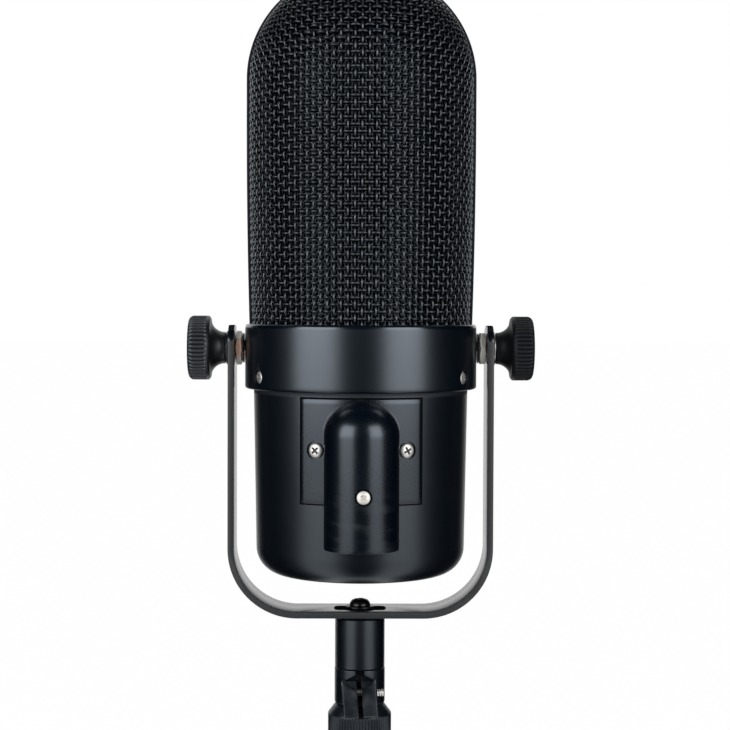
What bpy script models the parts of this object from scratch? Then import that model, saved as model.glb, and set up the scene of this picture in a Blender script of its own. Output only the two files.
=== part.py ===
"""Ribbon microphone in a yoke, modelled piece by piece in metres with +Z up.

The origin is the centre of the stand nut's bottom face. The connector faces -Y, so +X is on the
right of someone who looks at the connector.
"""
import math

import bmesh
import bpy
from mathutils import Matrix, Vector

MM = 0.001

# Clearance between pieces that touch, and rounding of round pieces
GAP = 0.25 * MM
LARGE_STEPS = 36
SMALL_STEPS = 20
SCREW_STEPS = 10
SCREEN_STEPS = 24
SHARP_ANGLE = math.radians(32)

# Stand nut, which screws on the stand
NUT_R = 10.3 * MM
NUT_KNURL_H = 12.0 * MM
NUT_CHAMFER_H = 3.0 * MM
NUT_TOP_R = 8.0 * MM
NUT_RIBS = 26
NUT_RIB_DEPTH = 0.35 * MM
STAND_THREAD_R = 7.94 * MM
STAND_THREAD_H = 10.6 * MM

# Clamp sleeve, its two ears and its clip inside the nut
SLEEVE_R = 8.2 * MM
SLEEVE_H = 11.65 * MM
SLEEVE_FLOOR_H = 1.9 * MM
NECK_R = 5.3 * MM
NECK_BELOW_CLIP = 0.8 * MM
CLIP_T = 0.8 * MM
CLIP_R = 7.2 * MM
CLIP_GROOVE_DEPTH = 0.6 * MM
CLIP_OPENING = math.radians(50)
EAR_HALF_W = 5.5 * MM
EAR_REACH = 13.8 * MM
EAR_TOP_DROP = 2.7 * MM
EAR_LIP_H = 2.6 * MM
SLOT_W = 1.4 * MM
NOTCH_HALF_W = 3.6 * MM
NOTCH_DEPTH = 1.9 * MM
CLAMP_SCREW_R = 1.2 * MM
CLAMP_SCREW_REACH = 11.4 * MM
CLAMP_SCREW_DROP = 6.2 * MM
CLAMP_SCREW_PROUD = 2.2 * MM

# Swivel post, which turns in the sleeve and carries the yoke
POST_R = 8.1 * MM
POST_H = 16.7 * MM
POST_CHAMFER = 0.8 * MM
SPIGOT_R = 4.9 * MM
SPIGOT_H = 9.0 * MM

# Yoke strap, a flat strip bent into a U
STRAP_T = 2.0 * MM
STRAP_W = 18.0 * MM
STRAP_BEND_R = 22.4 * MM
STRAP_CORNER_R = 6.5 * MM
STRAP_ABOVE_PIVOT = 7.4 * MM
PIVOT_ABOVE_FOOT = 86.9 * MM
FOOT_SLOT_L = 17.0 * MM
FOOT_SLOT_W = 6.0 * MM
YOKE_WASHER_R = 4.6 * MM
YOKE_WASHER_T = 0.6 * MM
YOKE_SCREW_R = 2.5 * MM
YOKE_SCREW_HEAD_R = 3.3 * MM
YOKE_SCREW_HEAD_H = 1.6 * MM
YOKE_SCREW_L = 12.0 * MM

# Pivots: stud, spacer, hex nut, washer and knob on each side
STUD_R = 3.0 * MM
STUD_IN_KNOB = 10.0 * MM
SPACER_R = 4.85 * MM
SPACER_T = 0.4 * MM
HEX_ACROSS_FLATS = 10.0 * MM
HEX_T = 2.05 * MM
KNOB_WASHER_R = 5.4 * MM
KNOB_WASHER_T = 0.6 * MM
KNOB_R = 10.4 * MM
KNOB_L = 12.4 * MM
KNOB_HUB_R = 5.1 * MM
KNOB_HUB_L = 4.8 * MM
KNOB_RIM_CHAMFER = 0.8 * MM
KNOB_EDGE_R = 1.8 * MM
KNOB_RIBS = 24
KNOB_RIB_DEPTH = 0.5 * MM
KNOB_ROOF = 1.6 * MM

# Collar, the ring that joins the grille to the lower housing, whose radius sets the head's width
COLLAR_R = 37.5 * MM
COLLAR_H = 20.0 * MM
COLLAR_BELOW_PIVOT = 13.0 * MM
COLLAR_TOP_FILLET = 0.9 * MM
COLLAR_BOTTOM_FILLET = 1.7 * MM
COLLAR_RECESS_H = 4.0 * MM
BAND_INSET = 8.0 * MM
BAND_H = 7.8 * MM
COLLAR_SCREW_R = 1.25 * MM
COLLAR_SCREW_HEAD_R = 2.1 * MM
COLLAR_SCREW_HEAD_H = 0.8 * MM
COLLAR_SCREW_L = 5.0 * MM
COLLAR_SCREW_UP = 4.1 * MM
COLLAR_SCREWS = 3

# Lower housing, a tapered can that closes the bottom of the head
CAN_INSET = 2.7 * MM
CAN_TAPER = 1.3 * MM
CAN_BELOW_COLLAR = 60.0 * MM
CAN_FILLET = 8.7 * MM
CAN_WALL = 2.0 * MM

# Connector cover on the front of the can
COVER_HALF_W = 18.4 * MM
COVER_H = 32.5 * MM
COVER_BELOW_COLLAR = 1.9 * MM
COVER_T = 1.0 * MM
COVER_SCREW_X = 14.2 * MM
COVER_SCREW_HEAD_R = 2.35 * MM
COVER_SCREW_HEAD_H = 1.0 * MM
COVER_SCREW_R = 1.25 * MM
COVER_SCREW_L = 4.5 * MM
SCREW_RECESS = 0.5 * MM
HOOD_R = 11.4 * MM
HOOD_STAND_OFF = 8.9 * MM
HOOD_MOUTH_BELOW_COVER = 12.4 * MM
HOOD_RISE = 10.3 * MM
SOCKET_R = 8.25 * MM
SOCKET_H = 25.0 * MM
INSERT_UP = 13.8 * MM
INSERT_H = 6.5 * MM
LOCK_SCREW_UP = 16.8 * MM
LOCK_SCREW_HEAD_R = 2.05 * MM
LOCK_SCREW_L = 5.0 * MM
PIN_R = 1.2 * MM
PIN_CIRCLE_R = 4.2 * MM
PIN_DROP = 11.0 * MM
PIN_SEAT = 5.0 * MM
PINS = 3
WIRE_HOLE_R = 4.25 * MM

# Grille: the outer lattice stands for the woven wire, the inner screen is a finer mesh behind it
GRILLE_INSET = 1.4 * MM
GRILLE_BULGE = 1.0 * MM
GRILLE_BULGE_UP = 67.0 * MM
GRILLE_SIDE_H = 79.8 * MM
DOME_FLATTENING = 0.2 * MM
GRILLE_WIRE_T = 0.9 * MM
GRILLE_WIRE_W = 1.1 * MM
GRILLE_COLUMNS = 20
GRILLE_ROWS = 6
GRILLE_DOME_ROWS = 2
SCREEN_T = 0.5 * MM
SCREEN_ROWS = 3
SCREEN_DOME_ROWS = 7
RING_T = 1.3 * MM

# Chassis plate and the ribbon motor that stands on it
PLATE_T = 2.0 * MM
PLATE_HOLE_R = 3.0 * MM
CHASSIS_SCREW_R = 1.0 * MM
CHASSIS_SCREW_HEAD_R = 1.8 * MM
CHASSIS_SCREW_HEAD_H = 1.2 * MM
CHASSIS_SCREW_L = 6.0 * MM
CHASSIS_SCREWS = 3
MOTOR_W = 40.0 * MM
MOTOR_H = 74.0 * MM
MOTOR_D = 8.0 * MM
MOTOR_RAIL = 5.5 * MM
MOTOR_BASE_H = 9.0 * MM
MOTOR_HEAD_H = 7.0 * MM
MOTOR_FOOT_D = 22.0 * MM
MOTOR_FOOT_T = 3.0 * MM
MAGNET_W = 6.0 * MM
MAGNET_D = 12.0 * MM
POLE_TIP_D = 3.0 * MM
RIBBON_W = 3.8 * MM
RIBBON_T = 0.3 * MM
RIBBON_WAVE = 0.45 * MM
RIBBON_PLEATS = 14
RIBBON_SEAT = 3.0 * MM
CLAMP_BAR_W = 14.0 * MM
CLAMP_BAR_D = 7.0 * MM
CLAMP_BAR_H = 5.0 * MM

# Transformer under the chassis plate, and its two output leads
CORE_W = 26.0 * MM
CORE_D = 18.0 * MM
CORE_H = 24.0 * MM
CORE_LEG_W = 8.0 * MM
CORE_YOKE_H = 5.0 * MM
CORE_SIDE_W = 4.0 * MM
COIL_PROUD = 5.0 * MM
LEAD_R = 0.6 * MM
LEAD_X = 2.5 * MM
LEAD_STEPS = 14

# Heights that follow from the sizes above
NUT_TOP = NUT_KNURL_H + NUT_CHAMFER_H
SLEEVE_Z = NUT_TOP + GAP
SLEEVE_TOP = SLEEVE_Z + SLEEVE_H
SLEEVE_BORE_Z = SLEEVE_Z + SLEEVE_FLOOR_H
POST_Z = SLEEVE_TOP + GAP
POST_TOP = POST_Z + POST_H
FOOT_Z = POST_TOP + GAP
FOOT_TOP = FOOT_Z + STRAP_T
PIVOT_Z = FOOT_Z + PIVOT_ABOVE_FOOT
COLLAR_Z = PIVOT_Z - COLLAR_BELOW_PIVOT
COLLAR_TOP = COLLAR_Z + COLLAR_H
SHELF_Z = COLLAR_TOP - COLLAR_RECESS_H
BAND_Z = SHELF_Z - BAND_H
CAN_Z = COLLAR_Z - CAN_BELOW_COLLAR
CAN_TOP = BAND_Z - GAP
COVER_TOP = COLLAR_Z - COVER_BELOW_COLLAR
COVER_Z = COVER_TOP - COVER_H
HOOD_Z = COVER_Z - HOOD_MOUTH_BELOW_COVER
HOOD_SPRING = COVER_TOP - HOOD_RISE
INSERT_Z = HOOD_Z + INSERT_UP
INSERT_TOP = INSERT_Z + INSERT_H
WIRE_HOLE_Z = INSERT_TOP + WIRE_HOLE_R
RING_Z = SHELF_Z + GAP
PLATE_Z = SHELF_Z + GAP
PLATE_TOP = PLATE_Z + PLATE_T
MOTOR_Z = PLATE_TOP + GAP
CORE_TOP = PLATE_Z - GAP
DOME_Z = COLLAR_TOP + GRILLE_SIDE_H

# Distances along the pivot's axis
SPACER_X = COLLAR_R + GAP
HEX_X = SPACER_X + SPACER_T + GAP
STRAP_IN_X = HEX_X + HEX_T + GAP
STRAP_OUT_X = STRAP_IN_X + STRAP_T
KNOB_WASHER_X = STRAP_OUT_X + GAP
KNOB_X = KNOB_WASHER_X + KNOB_WASHER_T + GAP

# Radii that follow from the sizes above
BAND_R = COLLAR_R - BAND_INSET
CAN_TOP_R = COLLAR_R - CAN_INSET
CAN_LOW_R = CAN_TOP_R - CAN_TAPER
HOOD_Y = -CAN_TOP_R - HOOD_STAND_OFF
GRILLE_BASE_R = COLLAR_R - GRILLE_INSET
GRILLE_MAX_R = GRILLE_BASE_R + GRILLE_BULGE
GRILLE_DOME_H = GRILLE_MAX_R - DOME_FLATTENING
SOCKET_WALL_R = CAN_TOP_R + GAP
ROUND_SAG = COLLAR_R * (1.0 - math.cos(math.pi / LARGE_STEPS))
RECESS_R = GRILLE_BASE_R + GAP + ROUND_SAG
CHORD_SAG = GRILLE_MAX_R * (1.0 - math.cos(math.pi / GRILLE_COLUMNS))
SCREEN_INSET = GRILLE_WIRE_T + CHORD_SAG + GAP
RING_R = GRILLE_BASE_R - SCREEN_INSET
PLATE_R = RING_R - RING_T - GAP - ROUND_SAG
CHASSIS_SCREW_CIRCLE_R = (BAND_R + PLATE_R) / 2.0


class Body:
    """An empty on a joint's axis, which carries the pieces that move together."""

    def __init__(self, name, at, parent=None):
        self.at = Vector(at)
        self.empty = bpy.data.objects.new(name, None)
        self.empty.parent = parent.empty if parent else None
        self.empty.location = self.at - parent.at if parent else self.at
        bpy.context.collection.objects.link(self.empty)


def finish(name, colour, roughness, metallic=0.0):
    """A plain surface with one colour."""
    surface = bpy.data.materials.new(name)
    surface.use_nodes = True
    shader = surface.node_tree.nodes["Principled BSDF"]
    shader.inputs["Base Color"].default_value = (*colour, 1.0)
    shader.inputs["Roughness"].default_value = roughness
    shader.inputs["Metallic"].default_value = metallic
    return surface


def add(name, shape, surface, body):
    """Make an object of a shape given in world coordinates, with its origin on its body's axis."""
    bmesh.ops.translate(shape, vec=-body.at, verts=shape.verts)
    mesh = bpy.data.meshes.new(name)
    shape.to_mesh(mesh)
    shape.free()
    mesh.shade_smooth()
    mesh.set_sharp_from_angle(angle=SHARP_ANGLE)
    mesh.materials.append(surface)
    piece = bpy.data.objects.new(name, mesh)
    piece.parent = body.empty
    bpy.context.collection.objects.link(piece)
    return piece


def combine(piece, shape, body, operation):
    """Cut, join or trim a piece with a hidden shape."""
    tool = add(f"{piece.name}_tool_{len(piece.modifiers)}", shape, piece.data.materials[0], body)
    tool.hide_render = True
    tool.display_type = "WIRE"
    modifier = piece.modifiers.new(tool.name, "BOOLEAN")
    modifier.object = tool
    modifier.operation = operation
    modifier.solver = "EXACT"


def arc(centre, radius, start, end, steps):
    """Points on an arc, from one angle to another in degrees, both ends included."""
    angles = [math.radians(start + (end - start) * i / steps) for i in range(steps + 1)]
    return [(centre[0] + radius * math.cos(a), centre[1] + radius * math.sin(a)) for a in angles]


def facing(at, direction):
    """The frame whose +Z points along a direction."""
    turn = Vector(direction).to_track_quat("Z", "Y").to_matrix().to_4x4()
    return Matrix.Translation(Vector(at)) @ turn


def lathe(profile, steps, frame=None):
    """Spin (radius, height) points round Z. A profile that starts off the axis is closed on itself."""
    shape = bmesh.new()
    points = [shape.verts.new((radius, 0.0, height)) for radius, height in profile]
    lines = [shape.edges.new(pair) for pair in zip(points, points[1:])]
    if profile[0][0] > 0.0:
        lines.append(shape.edges.new((points[-1], points[0])))
    bmesh.ops.spin(shape, geom=points + lines, cent=(0, 0, 0), axis=(0, 0, 1),
                   angle=math.tau, steps=steps, use_merge=True)
    bmesh.ops.remove_doubles(shape, verts=shape.verts, dist=GAP / 1000.0)
    bmesh.ops.recalc_face_normals(shape, faces=shape.faces)
    if frame:
        bmesh.ops.transform(shape, matrix=frame, verts=shape.verts)
    return shape


def flute(shape, radius, ribs, depth):
    """Pull in every second line of the rim, so that ribs stand between the grooves."""
    for point in shape.verts:
        turn = math.atan2(point.co.y, point.co.x) / math.tau * 2 * ribs
        if math.hypot(point.co.x, point.co.y) > radius and round(turn) % 2:
            point.co.xy *= 1.0 - depth / math.hypot(point.co.x, point.co.y)


def rod(radius, start, end, steps=SCREW_STEPS):
    """A cylinder between two points."""
    start = Vector(start)
    end = Vector(end)
    shape = bmesh.new()
    bmesh.ops.create_cone(shape, cap_ends=True, segments=steps, radius1=radius, radius2=radius,
                          depth=(end - start).length, matrix=facing((start + end) / 2, end - start))
    return shape


def block(low, high):
    """A box between two corners."""
    low = Vector(low)
    high = Vector(high)
    shape = bmesh.new()
    place = Matrix.Translation((low + high) / 2) @ Matrix.Diagonal((*(high - low), 1.0))
    bmesh.ops.create_cube(shape, size=1.0, matrix=place)
    return shape


def prism(outline, axis, low, high):
    """Extrude a flat outline along X, Y or Z. Its points are the other two coordinates in order."""
    place = {"X": lambda a, b: (low, a, b), "Y": lambda a, b: (a, low, b), "Z": lambda a, b: (a, b, low)}
    along = {"X": (1, 0, 0), "Y": (0, 1, 0), "Z": (0, 0, 1)}
    shape = bmesh.new()
    face = shape.faces.new([shape.verts.new(place[axis](a, b)) for a, b in outline])
    grown = bmesh.ops.extrude_face_region(shape, geom=[face])["geom"]
    ends = [part for part in grown if isinstance(part, bmesh.types.BMVert)]
    bmesh.ops.translate(shape, vec=Vector(along[axis]) * (high - low), verts=ends)
    bmesh.ops.recalc_face_normals(shape, faces=shape.faces)
    return shape


def gather(shapes):
    """One mesh that holds several shapes that stay apart."""
    whole = bmesh.new()
    for shape in shapes:
        copy = bpy.data.meshes.new("copy")
        shape.to_mesh(copy)
        shape.free()
        whole.from_mesh(copy)
        bpy.data.meshes.remove(copy)
    return whole


def washer(inner, outer, thick, at, direction, steps=SMALL_STEPS):
    """A flat ring that starts at a point and grows along a direction."""
    profile = [(inner, 0.0), (outer, 0.0), (outer, thick), (inner, thick)]
    return lathe(profile, steps, facing(at, direction))


def pan_screw(head_r, head_h, shank_r, shank_l, seat, direction):
    """A screw whose head seats at a point and whose crown looks along a direction."""
    crown = [(head_r * math.cos(math.radians(a)), head_h * (0.4 + 0.6 * math.sin(math.radians(a))))
             for a in (0, 50)]
    profile = [(0.0, head_h), *reversed(crown), (head_r, 0.0), (shank_r, 0.0), (shank_r, -shank_l), (0.0, -shank_l)]
    return lathe(profile, SCREW_STEPS, facing(seat, direction))


def turned(angle):
    """The level direction at an angle from the front, -Y, towards +X."""
    return Vector((math.sin(angle), -math.cos(angle), 0.0))


def can_radius(height):
    """Outer radius of the lower housing's tapered wall."""
    share = (height - CAN_Z - CAN_FILLET) / (CAN_TOP - CAN_Z - CAN_FILLET)
    return CAN_LOW_R + (CAN_TOP_R - CAN_LOW_R) * share


def grille_radius(height):
    """Outer radius of the grille's side, which swells a little above the collar."""
    bulge = COLLAR_TOP + GRILLE_BULGE_UP
    below = max(0.0, bulge - height) / GRILLE_BULGE_UP
    return GRILLE_MAX_R - (GRILLE_MAX_R - GRILLE_BASE_R) * below ** 2


def grille_side(azimuth, height):
    """A point on the grille's side."""
    radius = grille_radius(height)
    return Vector((radius * math.cos(azimuth), radius * math.sin(azimuth), height))


def grille_dome(azimuth, rise):
    """A point on the grille's dome, at an angle above its spring line."""
    level = GRILLE_MAX_R * math.cos(rise)
    return Vector((level * math.cos(azimuth), level * math.sin(azimuth), DOME_Z + GRILLE_DOME_H * math.sin(rise)))


# Stand nut

def make_stand_nut(body):
    profile = [
        (STAND_THREAD_R, 0.0),
        (NUT_R, 0.0),
        (NUT_R, NUT_KNURL_H),
        (NUT_TOP_R, NUT_TOP),
        (NECK_R + GAP, NUT_TOP),
        (NECK_R + GAP, STAND_THREAD_H),
        (STAND_THREAD_R, STAND_THREAD_H),
    ]
    shape = lathe(profile, 2 * NUT_RIBS)
    flute(shape, (NUT_R + NUT_TOP_R) / 2, NUT_RIBS, NUT_RIB_DEPTH)
    add("stand_nut", shape, BLACK_PAINT, body)


# Clamp sleeve, clip and screw

def make_clamp(body):
    clip_top = STAND_THREAD_H - GAP
    clip_z = clip_top - CLIP_T
    groove_r = NECK_R - CLIP_GROOVE_DEPTH
    neck_z = clip_z - GAP - NECK_BELOW_CLIP
    bore_r = SPIGOT_R + GAP
    profile = [
        (0.0, neck_z),
        (NECK_R, neck_z),
        (NECK_R, clip_z - GAP),
        (groove_r, clip_z - GAP),
        (groove_r, clip_top + GAP),
        (NECK_R, clip_top + GAP),
        (NECK_R, SLEEVE_Z),
        (SLEEVE_R, SLEEVE_Z),
        (SLEEVE_R, SLEEVE_TOP),
        (bore_r, SLEEVE_TOP),
        (bore_r, SLEEVE_BORE_Z),
        (0.0, SLEEVE_BORE_Z),
    ]
    sleeve = add("clamp_sleeve", lathe(profile, SMALL_STEPS), BLACK_PAINT, body)

    # The ears reach down past the sleeve, in front of the nut's chamfer
    ear_top = SLEEVE_TOP - EAR_TOP_DROP
    lip_top = SLEEVE_Z + GAP
    lip_back = NUT_R + GAP
    ear_root = (SLEEVE_R + bore_r) / 2
    ears = [
        (-EAR_REACH, lip_top - EAR_LIP_H),
        (-lip_back, lip_top - EAR_LIP_H),
        (-lip_back, lip_top),
        (-ear_root, lip_top),
        (-ear_root, ear_top),
        (-EAR_REACH, ear_top),
    ]
    combine(sleeve, prism(ears, "X", -EAR_HALF_W, EAR_HALF_W), body, "UNION")

    # One slot splits the ears over their whole height and the sleeve above its floor
    past = 2 * SLEEVE_R
    slot = [
        (-past, 0.0),
        (-SLEEVE_R - GAP, 0.0),
        (-SLEEVE_R - GAP, SLEEVE_BORE_Z + GAP),
        (-bore_r / 2, SLEEVE_BORE_Z + GAP),
        (-bore_r / 2, SLEEVE_TOP + GAP),
        (-past, SLEEVE_TOP + GAP),
    ]
    combine(sleeve, prism(slot, "X", -SLOT_W / 2, SLOT_W / 2), body, "DIFFERENCE")
    notch = [(-NOTCH_HALF_W, ear_top), (0.0, ear_top - NOTCH_DEPTH), (NOTCH_HALF_W, ear_top)]
    raised = [(x * 2, ear_top + (z - ear_top) * 2 + NOTCH_DEPTH) for x, z in notch]
    combine(sleeve, prism(raised, "Y", -past, -SLEEVE_R - GAP), body, "DIFFERENCE")

    # The clamp screw draws the ears together
    screw_z = SLEEVE_TOP - CLAMP_SCREW_DROP
    hole = rod(CLAMP_SCREW_R + GAP, (-past, -CLAMP_SCREW_REACH, screw_z), (past, -CLAMP_SCREW_REACH, screw_z))
    combine(sleeve, hole, body, "DIFFERENCE")
    screw_l = EAR_HALF_W * 2 + CLAMP_SCREW_PROUD - CLAMP_SCREW_R
    profile = [
        (0.0, 0.0),
        (CLAMP_SCREW_R / 2, 0.0),
        (CLAMP_SCREW_R, -CLAMP_SCREW_R / 3),
        (CLAMP_SCREW_R, -screw_l),
        (0.0, -screw_l),
    ]
    seat = (EAR_HALF_W + CLAMP_SCREW_PROUD, -CLAMP_SCREW_REACH, screw_z)
    add("clamp_screw", lathe(profile, SCREW_STEPS, facing(seat, (1, 0, 0))), NICKEL, body)

    # The spring clip sits in the neck's groove and keeps the nut on the sleeve
    clip = add("retaining_clip", washer(groove_r + GAP, CLIP_R, CLIP_T, (0, 0, clip_z), (0, 0, 1)), STEEL, body)
    half = CLIP_R * math.tan(CLIP_OPENING / 2)
    opening = [(0.0, 0.0), (CLIP_R * 2, -half * 2), (CLIP_R * 2, half * 2)]
    combine(clip, prism(opening, "Z", clip_z - CLIP_T, clip_top + CLIP_T), body, "DIFFERENCE")


# Swivel post with the yoke's screw and washer

def make_post(body):
    hole_r = YOKE_SCREW_R + GAP
    washer_z = FOOT_TOP + GAP
    head_z = washer_z + YOKE_WASHER_T + GAP
    hole_z = head_z - YOKE_SCREW_L - GAP
    profile = [
        (0.0, POST_Z - SPIGOT_H),
        (SPIGOT_R, POST_Z - SPIGOT_H),
        (SPIGOT_R, POST_Z),
        (POST_R, POST_Z),
        (POST_R, POST_TOP - POST_CHAMFER),
        (POST_R - POST_CHAMFER, POST_TOP),
        (hole_r, POST_TOP),
        (hole_r, hole_z),
        (0.0, hole_z),
    ]
    add("swivel_post", lathe(profile, SMALL_STEPS), BLACK_PAINT, body)
    add("yoke_washer", washer(hole_r, YOKE_WASHER_R, YOKE_WASHER_T, (0, 0, washer_z), (0, 0, 1)), BLACK_STEEL, body)
    screw = pan_screw(YOKE_SCREW_HEAD_R, YOKE_SCREW_HEAD_H, YOKE_SCREW_R, YOKE_SCREW_L, (0, 0, head_z), (0, 0, 1))
    add("yoke_screw", screw, BLACK_STEEL, body)


# Yoke strap

def make_strap(body):
    top = PIVOT_Z + STRAP_ABOVE_PIVOT
    bend_z = FOOT_Z + STRAP_BEND_R
    bend_x = STRAP_OUT_X - STRAP_BEND_R
    inner_r = STRAP_BEND_R - STRAP_T
    outline = [
        (-STRAP_OUT_X, top),
        *arc((-bend_x, bend_z), STRAP_BEND_R, 180, 270, 8),
        *arc((bend_x, bend_z), STRAP_BEND_R, 270, 360, 8),
        (STRAP_OUT_X, top),
        (STRAP_IN_X, top),
        *arc((bend_x, bend_z), inner_r, 360, 270, 8),
        *arc((-bend_x, bend_z), inner_r, 270, 180, 8),
        (-STRAP_IN_X, top),
    ]
    shape = prism(outline, "Y", -STRAP_W / 2, STRAP_W / 2)
    corners = []
    for edge in shape.edges:
        low = min(point.co.z for point in edge.verts)
        if low > top - GAP and abs(edge.verts[0].co.y - edge.verts[1].co.y) < GAP:
            corners.append(edge)
    bmesh.ops.bevel(shape, geom=corners, offset=STRAP_CORNER_R, segments=5, profile=0.5, affect="EDGES")
    strap = add("yoke_strap", shape, BLACK_PAINT, body)
    past = STRAP_OUT_X + STRAP_T
    combine(strap, rod(STUD_R + GAP, (-past, 0, PIVOT_Z), (past, 0, PIVOT_Z)), body, "DIFFERENCE")
    half = (FOOT_SLOT_L - FOOT_SLOT_W) / 2
    slot = [
        *arc((half, 0.0), FOOT_SLOT_W / 2, -90, 90, 8),
        *arc((-half, 0.0), FOOT_SLOT_W / 2, 90, 270, 8),
    ]
    combine(strap, prism(slot, "Z", FOOT_Z - STRAP_T, FOOT_TOP + STRAP_T), body, "DIFFERENCE")


# Pivot hardware on one side of the head

def make_pivot(side, name, head, washer_body, knob_body):
    out = (side, 0, 0)

    def at(distance):
        return (side * distance, 0, PIVOT_Z)

    stud_end = KNOB_X + STUD_IN_KNOB
    add(f"pivot_stud_{name}", rod(STUD_R, at(BAND_R + GAP), at(stud_end), SCREW_STEPS), NICKEL, head)
    add(f"pivot_spacer_{name}", washer(STUD_R + GAP, SPACER_R, SPACER_T, at(SPACER_X), out), BLACK_STEEL, head)

    # The hex nut stands on a corner
    hexagon = [(HEX_ACROSS_FLATS / math.sqrt(3) * math.sin(math.radians(a)),
                PIVOT_Z + HEX_ACROSS_FLATS / math.sqrt(3) * math.cos(math.radians(a))) for a in range(0, 360, 60)]
    low, high = sorted((side * HEX_X, side * (HEX_X + HEX_T)))
    nut = add(f"hex_nut_{name}", prism(hexagon, "X", low, high), NICKEL, head)
    combine(nut, rod(STUD_R + GAP, at(0), at(stud_end)), head, "DIFFERENCE")

    ring = washer(STUD_R + GAP, KNOB_WASHER_R, KNOB_WASHER_T, at(KNOB_WASHER_X), out)
    add(f"knob_washer_{name}", ring, BLACK_STEEL, washer_body)

    # The knob flares from its hub to a fluted rim
    rim_r = KNOB_R - KNOB_RIM_CHAMFER
    flare = [(KNOB_HUB_R + (rim_r - KNOB_HUB_R) * (1 - math.cos(math.radians(a))),
              KNOB_HUB_L * math.sin(math.radians(a))) for a in (0, 35, 65, 90)]
    profile = [
        (0.0, KNOB_L),
        *arc((KNOB_R - KNOB_EDGE_R, KNOB_L - KNOB_EDGE_R), KNOB_EDGE_R, 90, 0, 2),
        (KNOB_R, KNOB_HUB_L + KNOB_RIM_CHAMFER),
        *reversed(flare),
        (STUD_R + GAP, 0.0),
        (STUD_R + GAP, KNOB_L - KNOB_ROOF),
        (0.0, KNOB_L - KNOB_ROOF),
    ]
    shape = lathe(profile, 2 * KNOB_RIBS)
    flute(shape, rim_r + KNOB_RIM_CHAMFER / 2, KNOB_RIBS, KNOB_RIB_DEPTH)
    bmesh.ops.transform(shape, matrix=facing(at(KNOB_X), out), verts=shape.verts)
    add(f"knob_{name}", shape, BLACK_PLASTIC, knob_body)


# Collar and its screws

def make_collar(body):
    top_r = COLLAR_R - COLLAR_TOP_FILLET
    low_r = COLLAR_R - COLLAR_BOTTOM_FILLET
    profile = [
        (SOCKET_WALL_R, COLLAR_Z),
        *arc((low_r, COLLAR_Z + COLLAR_BOTTOM_FILLET), COLLAR_BOTTOM_FILLET, -90, 0, 2),
        *arc((top_r, COLLAR_TOP - COLLAR_TOP_FILLET), COLLAR_TOP_FILLET, 0, 90, 2),
        (RECESS_R, COLLAR_TOP),
        (RECESS_R, SHELF_Z),
        (BAND_R, SHELF_Z),
        (BAND_R, BAND_Z),
        (SOCKET_WALL_R, BAND_Z),
    ]
    collar = add("collar", lathe(profile, LARGE_STEPS), BLACK_PAINT, body)
    past = COLLAR_R + COLLAR_TOP_FILLET
    combine(collar, rod(STUD_R + GAP, (-past, 0, PIVOT_Z), (past, 0, PIVOT_Z)), body, "DIFFERENCE")
    screw_z = COLLAR_Z + COLLAR_SCREW_UP
    seat_r = COLLAR_R - COLLAR_SCREW_HEAD_H
    holes = []
    recesses = []
    for index in range(COLLAR_SCREWS):
        out = turned(math.pi * (2 * index + 1) / COLLAR_SCREWS)
        rise = Vector((0, 0, screw_z))
        holes.append(rod(COLLAR_SCREW_R + GAP, out * BAND_R + rise, out * past + rise))
        recesses.append(rod(COLLAR_SCREW_HEAD_R + GAP, out * (seat_r - GAP) + rise, out * past + rise))
        screw = pan_screw(COLLAR_SCREW_HEAD_R, COLLAR_SCREW_HEAD_H, COLLAR_SCREW_R, COLLAR_SCREW_L,
                          out * seat_r + rise, out)
        add(f"collar_screw_{index + 1}", screw, NICKEL, body)
    combine(collar, gather(recesses), body, "DIFFERENCE")
    combine(collar, gather(holes), body, "DIFFERENCE")
    threads = []
    for index in range(CHASSIS_SCREWS):
        foot = turned(math.tau * index / CHASSIS_SCREWS) * CHASSIS_SCREW_CIRCLE_R
        low = PLATE_TOP - CHASSIS_SCREW_L - GAP
        threads.append(rod(CHASSIS_SCREW_R + GAP, foot + Vector((0, 0, low)), foot + Vector((0, 0, PLATE_TOP))))
    combine(collar, gather(threads), body, "DIFFERENCE")


# Lower housing

def make_housing(body):
    low = CAN_Z + CAN_FILLET
    inner_fillet = CAN_FILLET - CAN_WALL
    profile = [
        (0.0, CAN_Z),
        *arc((CAN_LOW_R - CAN_FILLET, low), CAN_FILLET, -90, 0, 4),
        (CAN_TOP_R, CAN_TOP),
        (CAN_TOP_R - CAN_WALL, CAN_TOP),
        *arc((CAN_LOW_R - CAN_FILLET, low), inner_fillet, 0, -90, 2),
        (0.0, CAN_Z + CAN_WALL),
    ]
    can = add("lower_housing", lathe(profile, LARGE_STEPS), BLACK_PAINT, body)
    holes = [rod(WIRE_HOLE_R, (0, -2 * CAN_TOP_R, WIRE_HOLE_Z), (0, 0, WIRE_HOLE_Z))]
    rise = Vector((0, 0, COLLAR_Z + COLLAR_SCREW_UP))
    for index in range(COLLAR_SCREWS):
        out = turned(math.pi * (2 * index + 1) / COLLAR_SCREWS)
        holes.append(rod(COLLAR_SCREW_R + GAP, out * BAND_R + rise, out * COLLAR_R + rise))
    for side in (-1, 1):
        seat, out = cover_screw_seat(side)
        holes.append(rod(COVER_SCREW_R + GAP, seat - out * 2 * COVER_SCREW_L, seat + out * COVER_SCREW_L))
    combine(can, gather(holes), body, "DIFFERENCE")


def cover_screw_seat(side):
    """Where a cover screw's head seats, and the direction it faces."""
    height = (COVER_Z + COVER_TOP) / 2
    radius = can_radius(height) + GAP + COVER_T - SCREW_RECESS
    out = turned(side * math.asin(COVER_SCREW_X / radius))
    return out * radius + Vector((0, 0, height)), out


# Connector cover, insert, pins and screws

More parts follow.
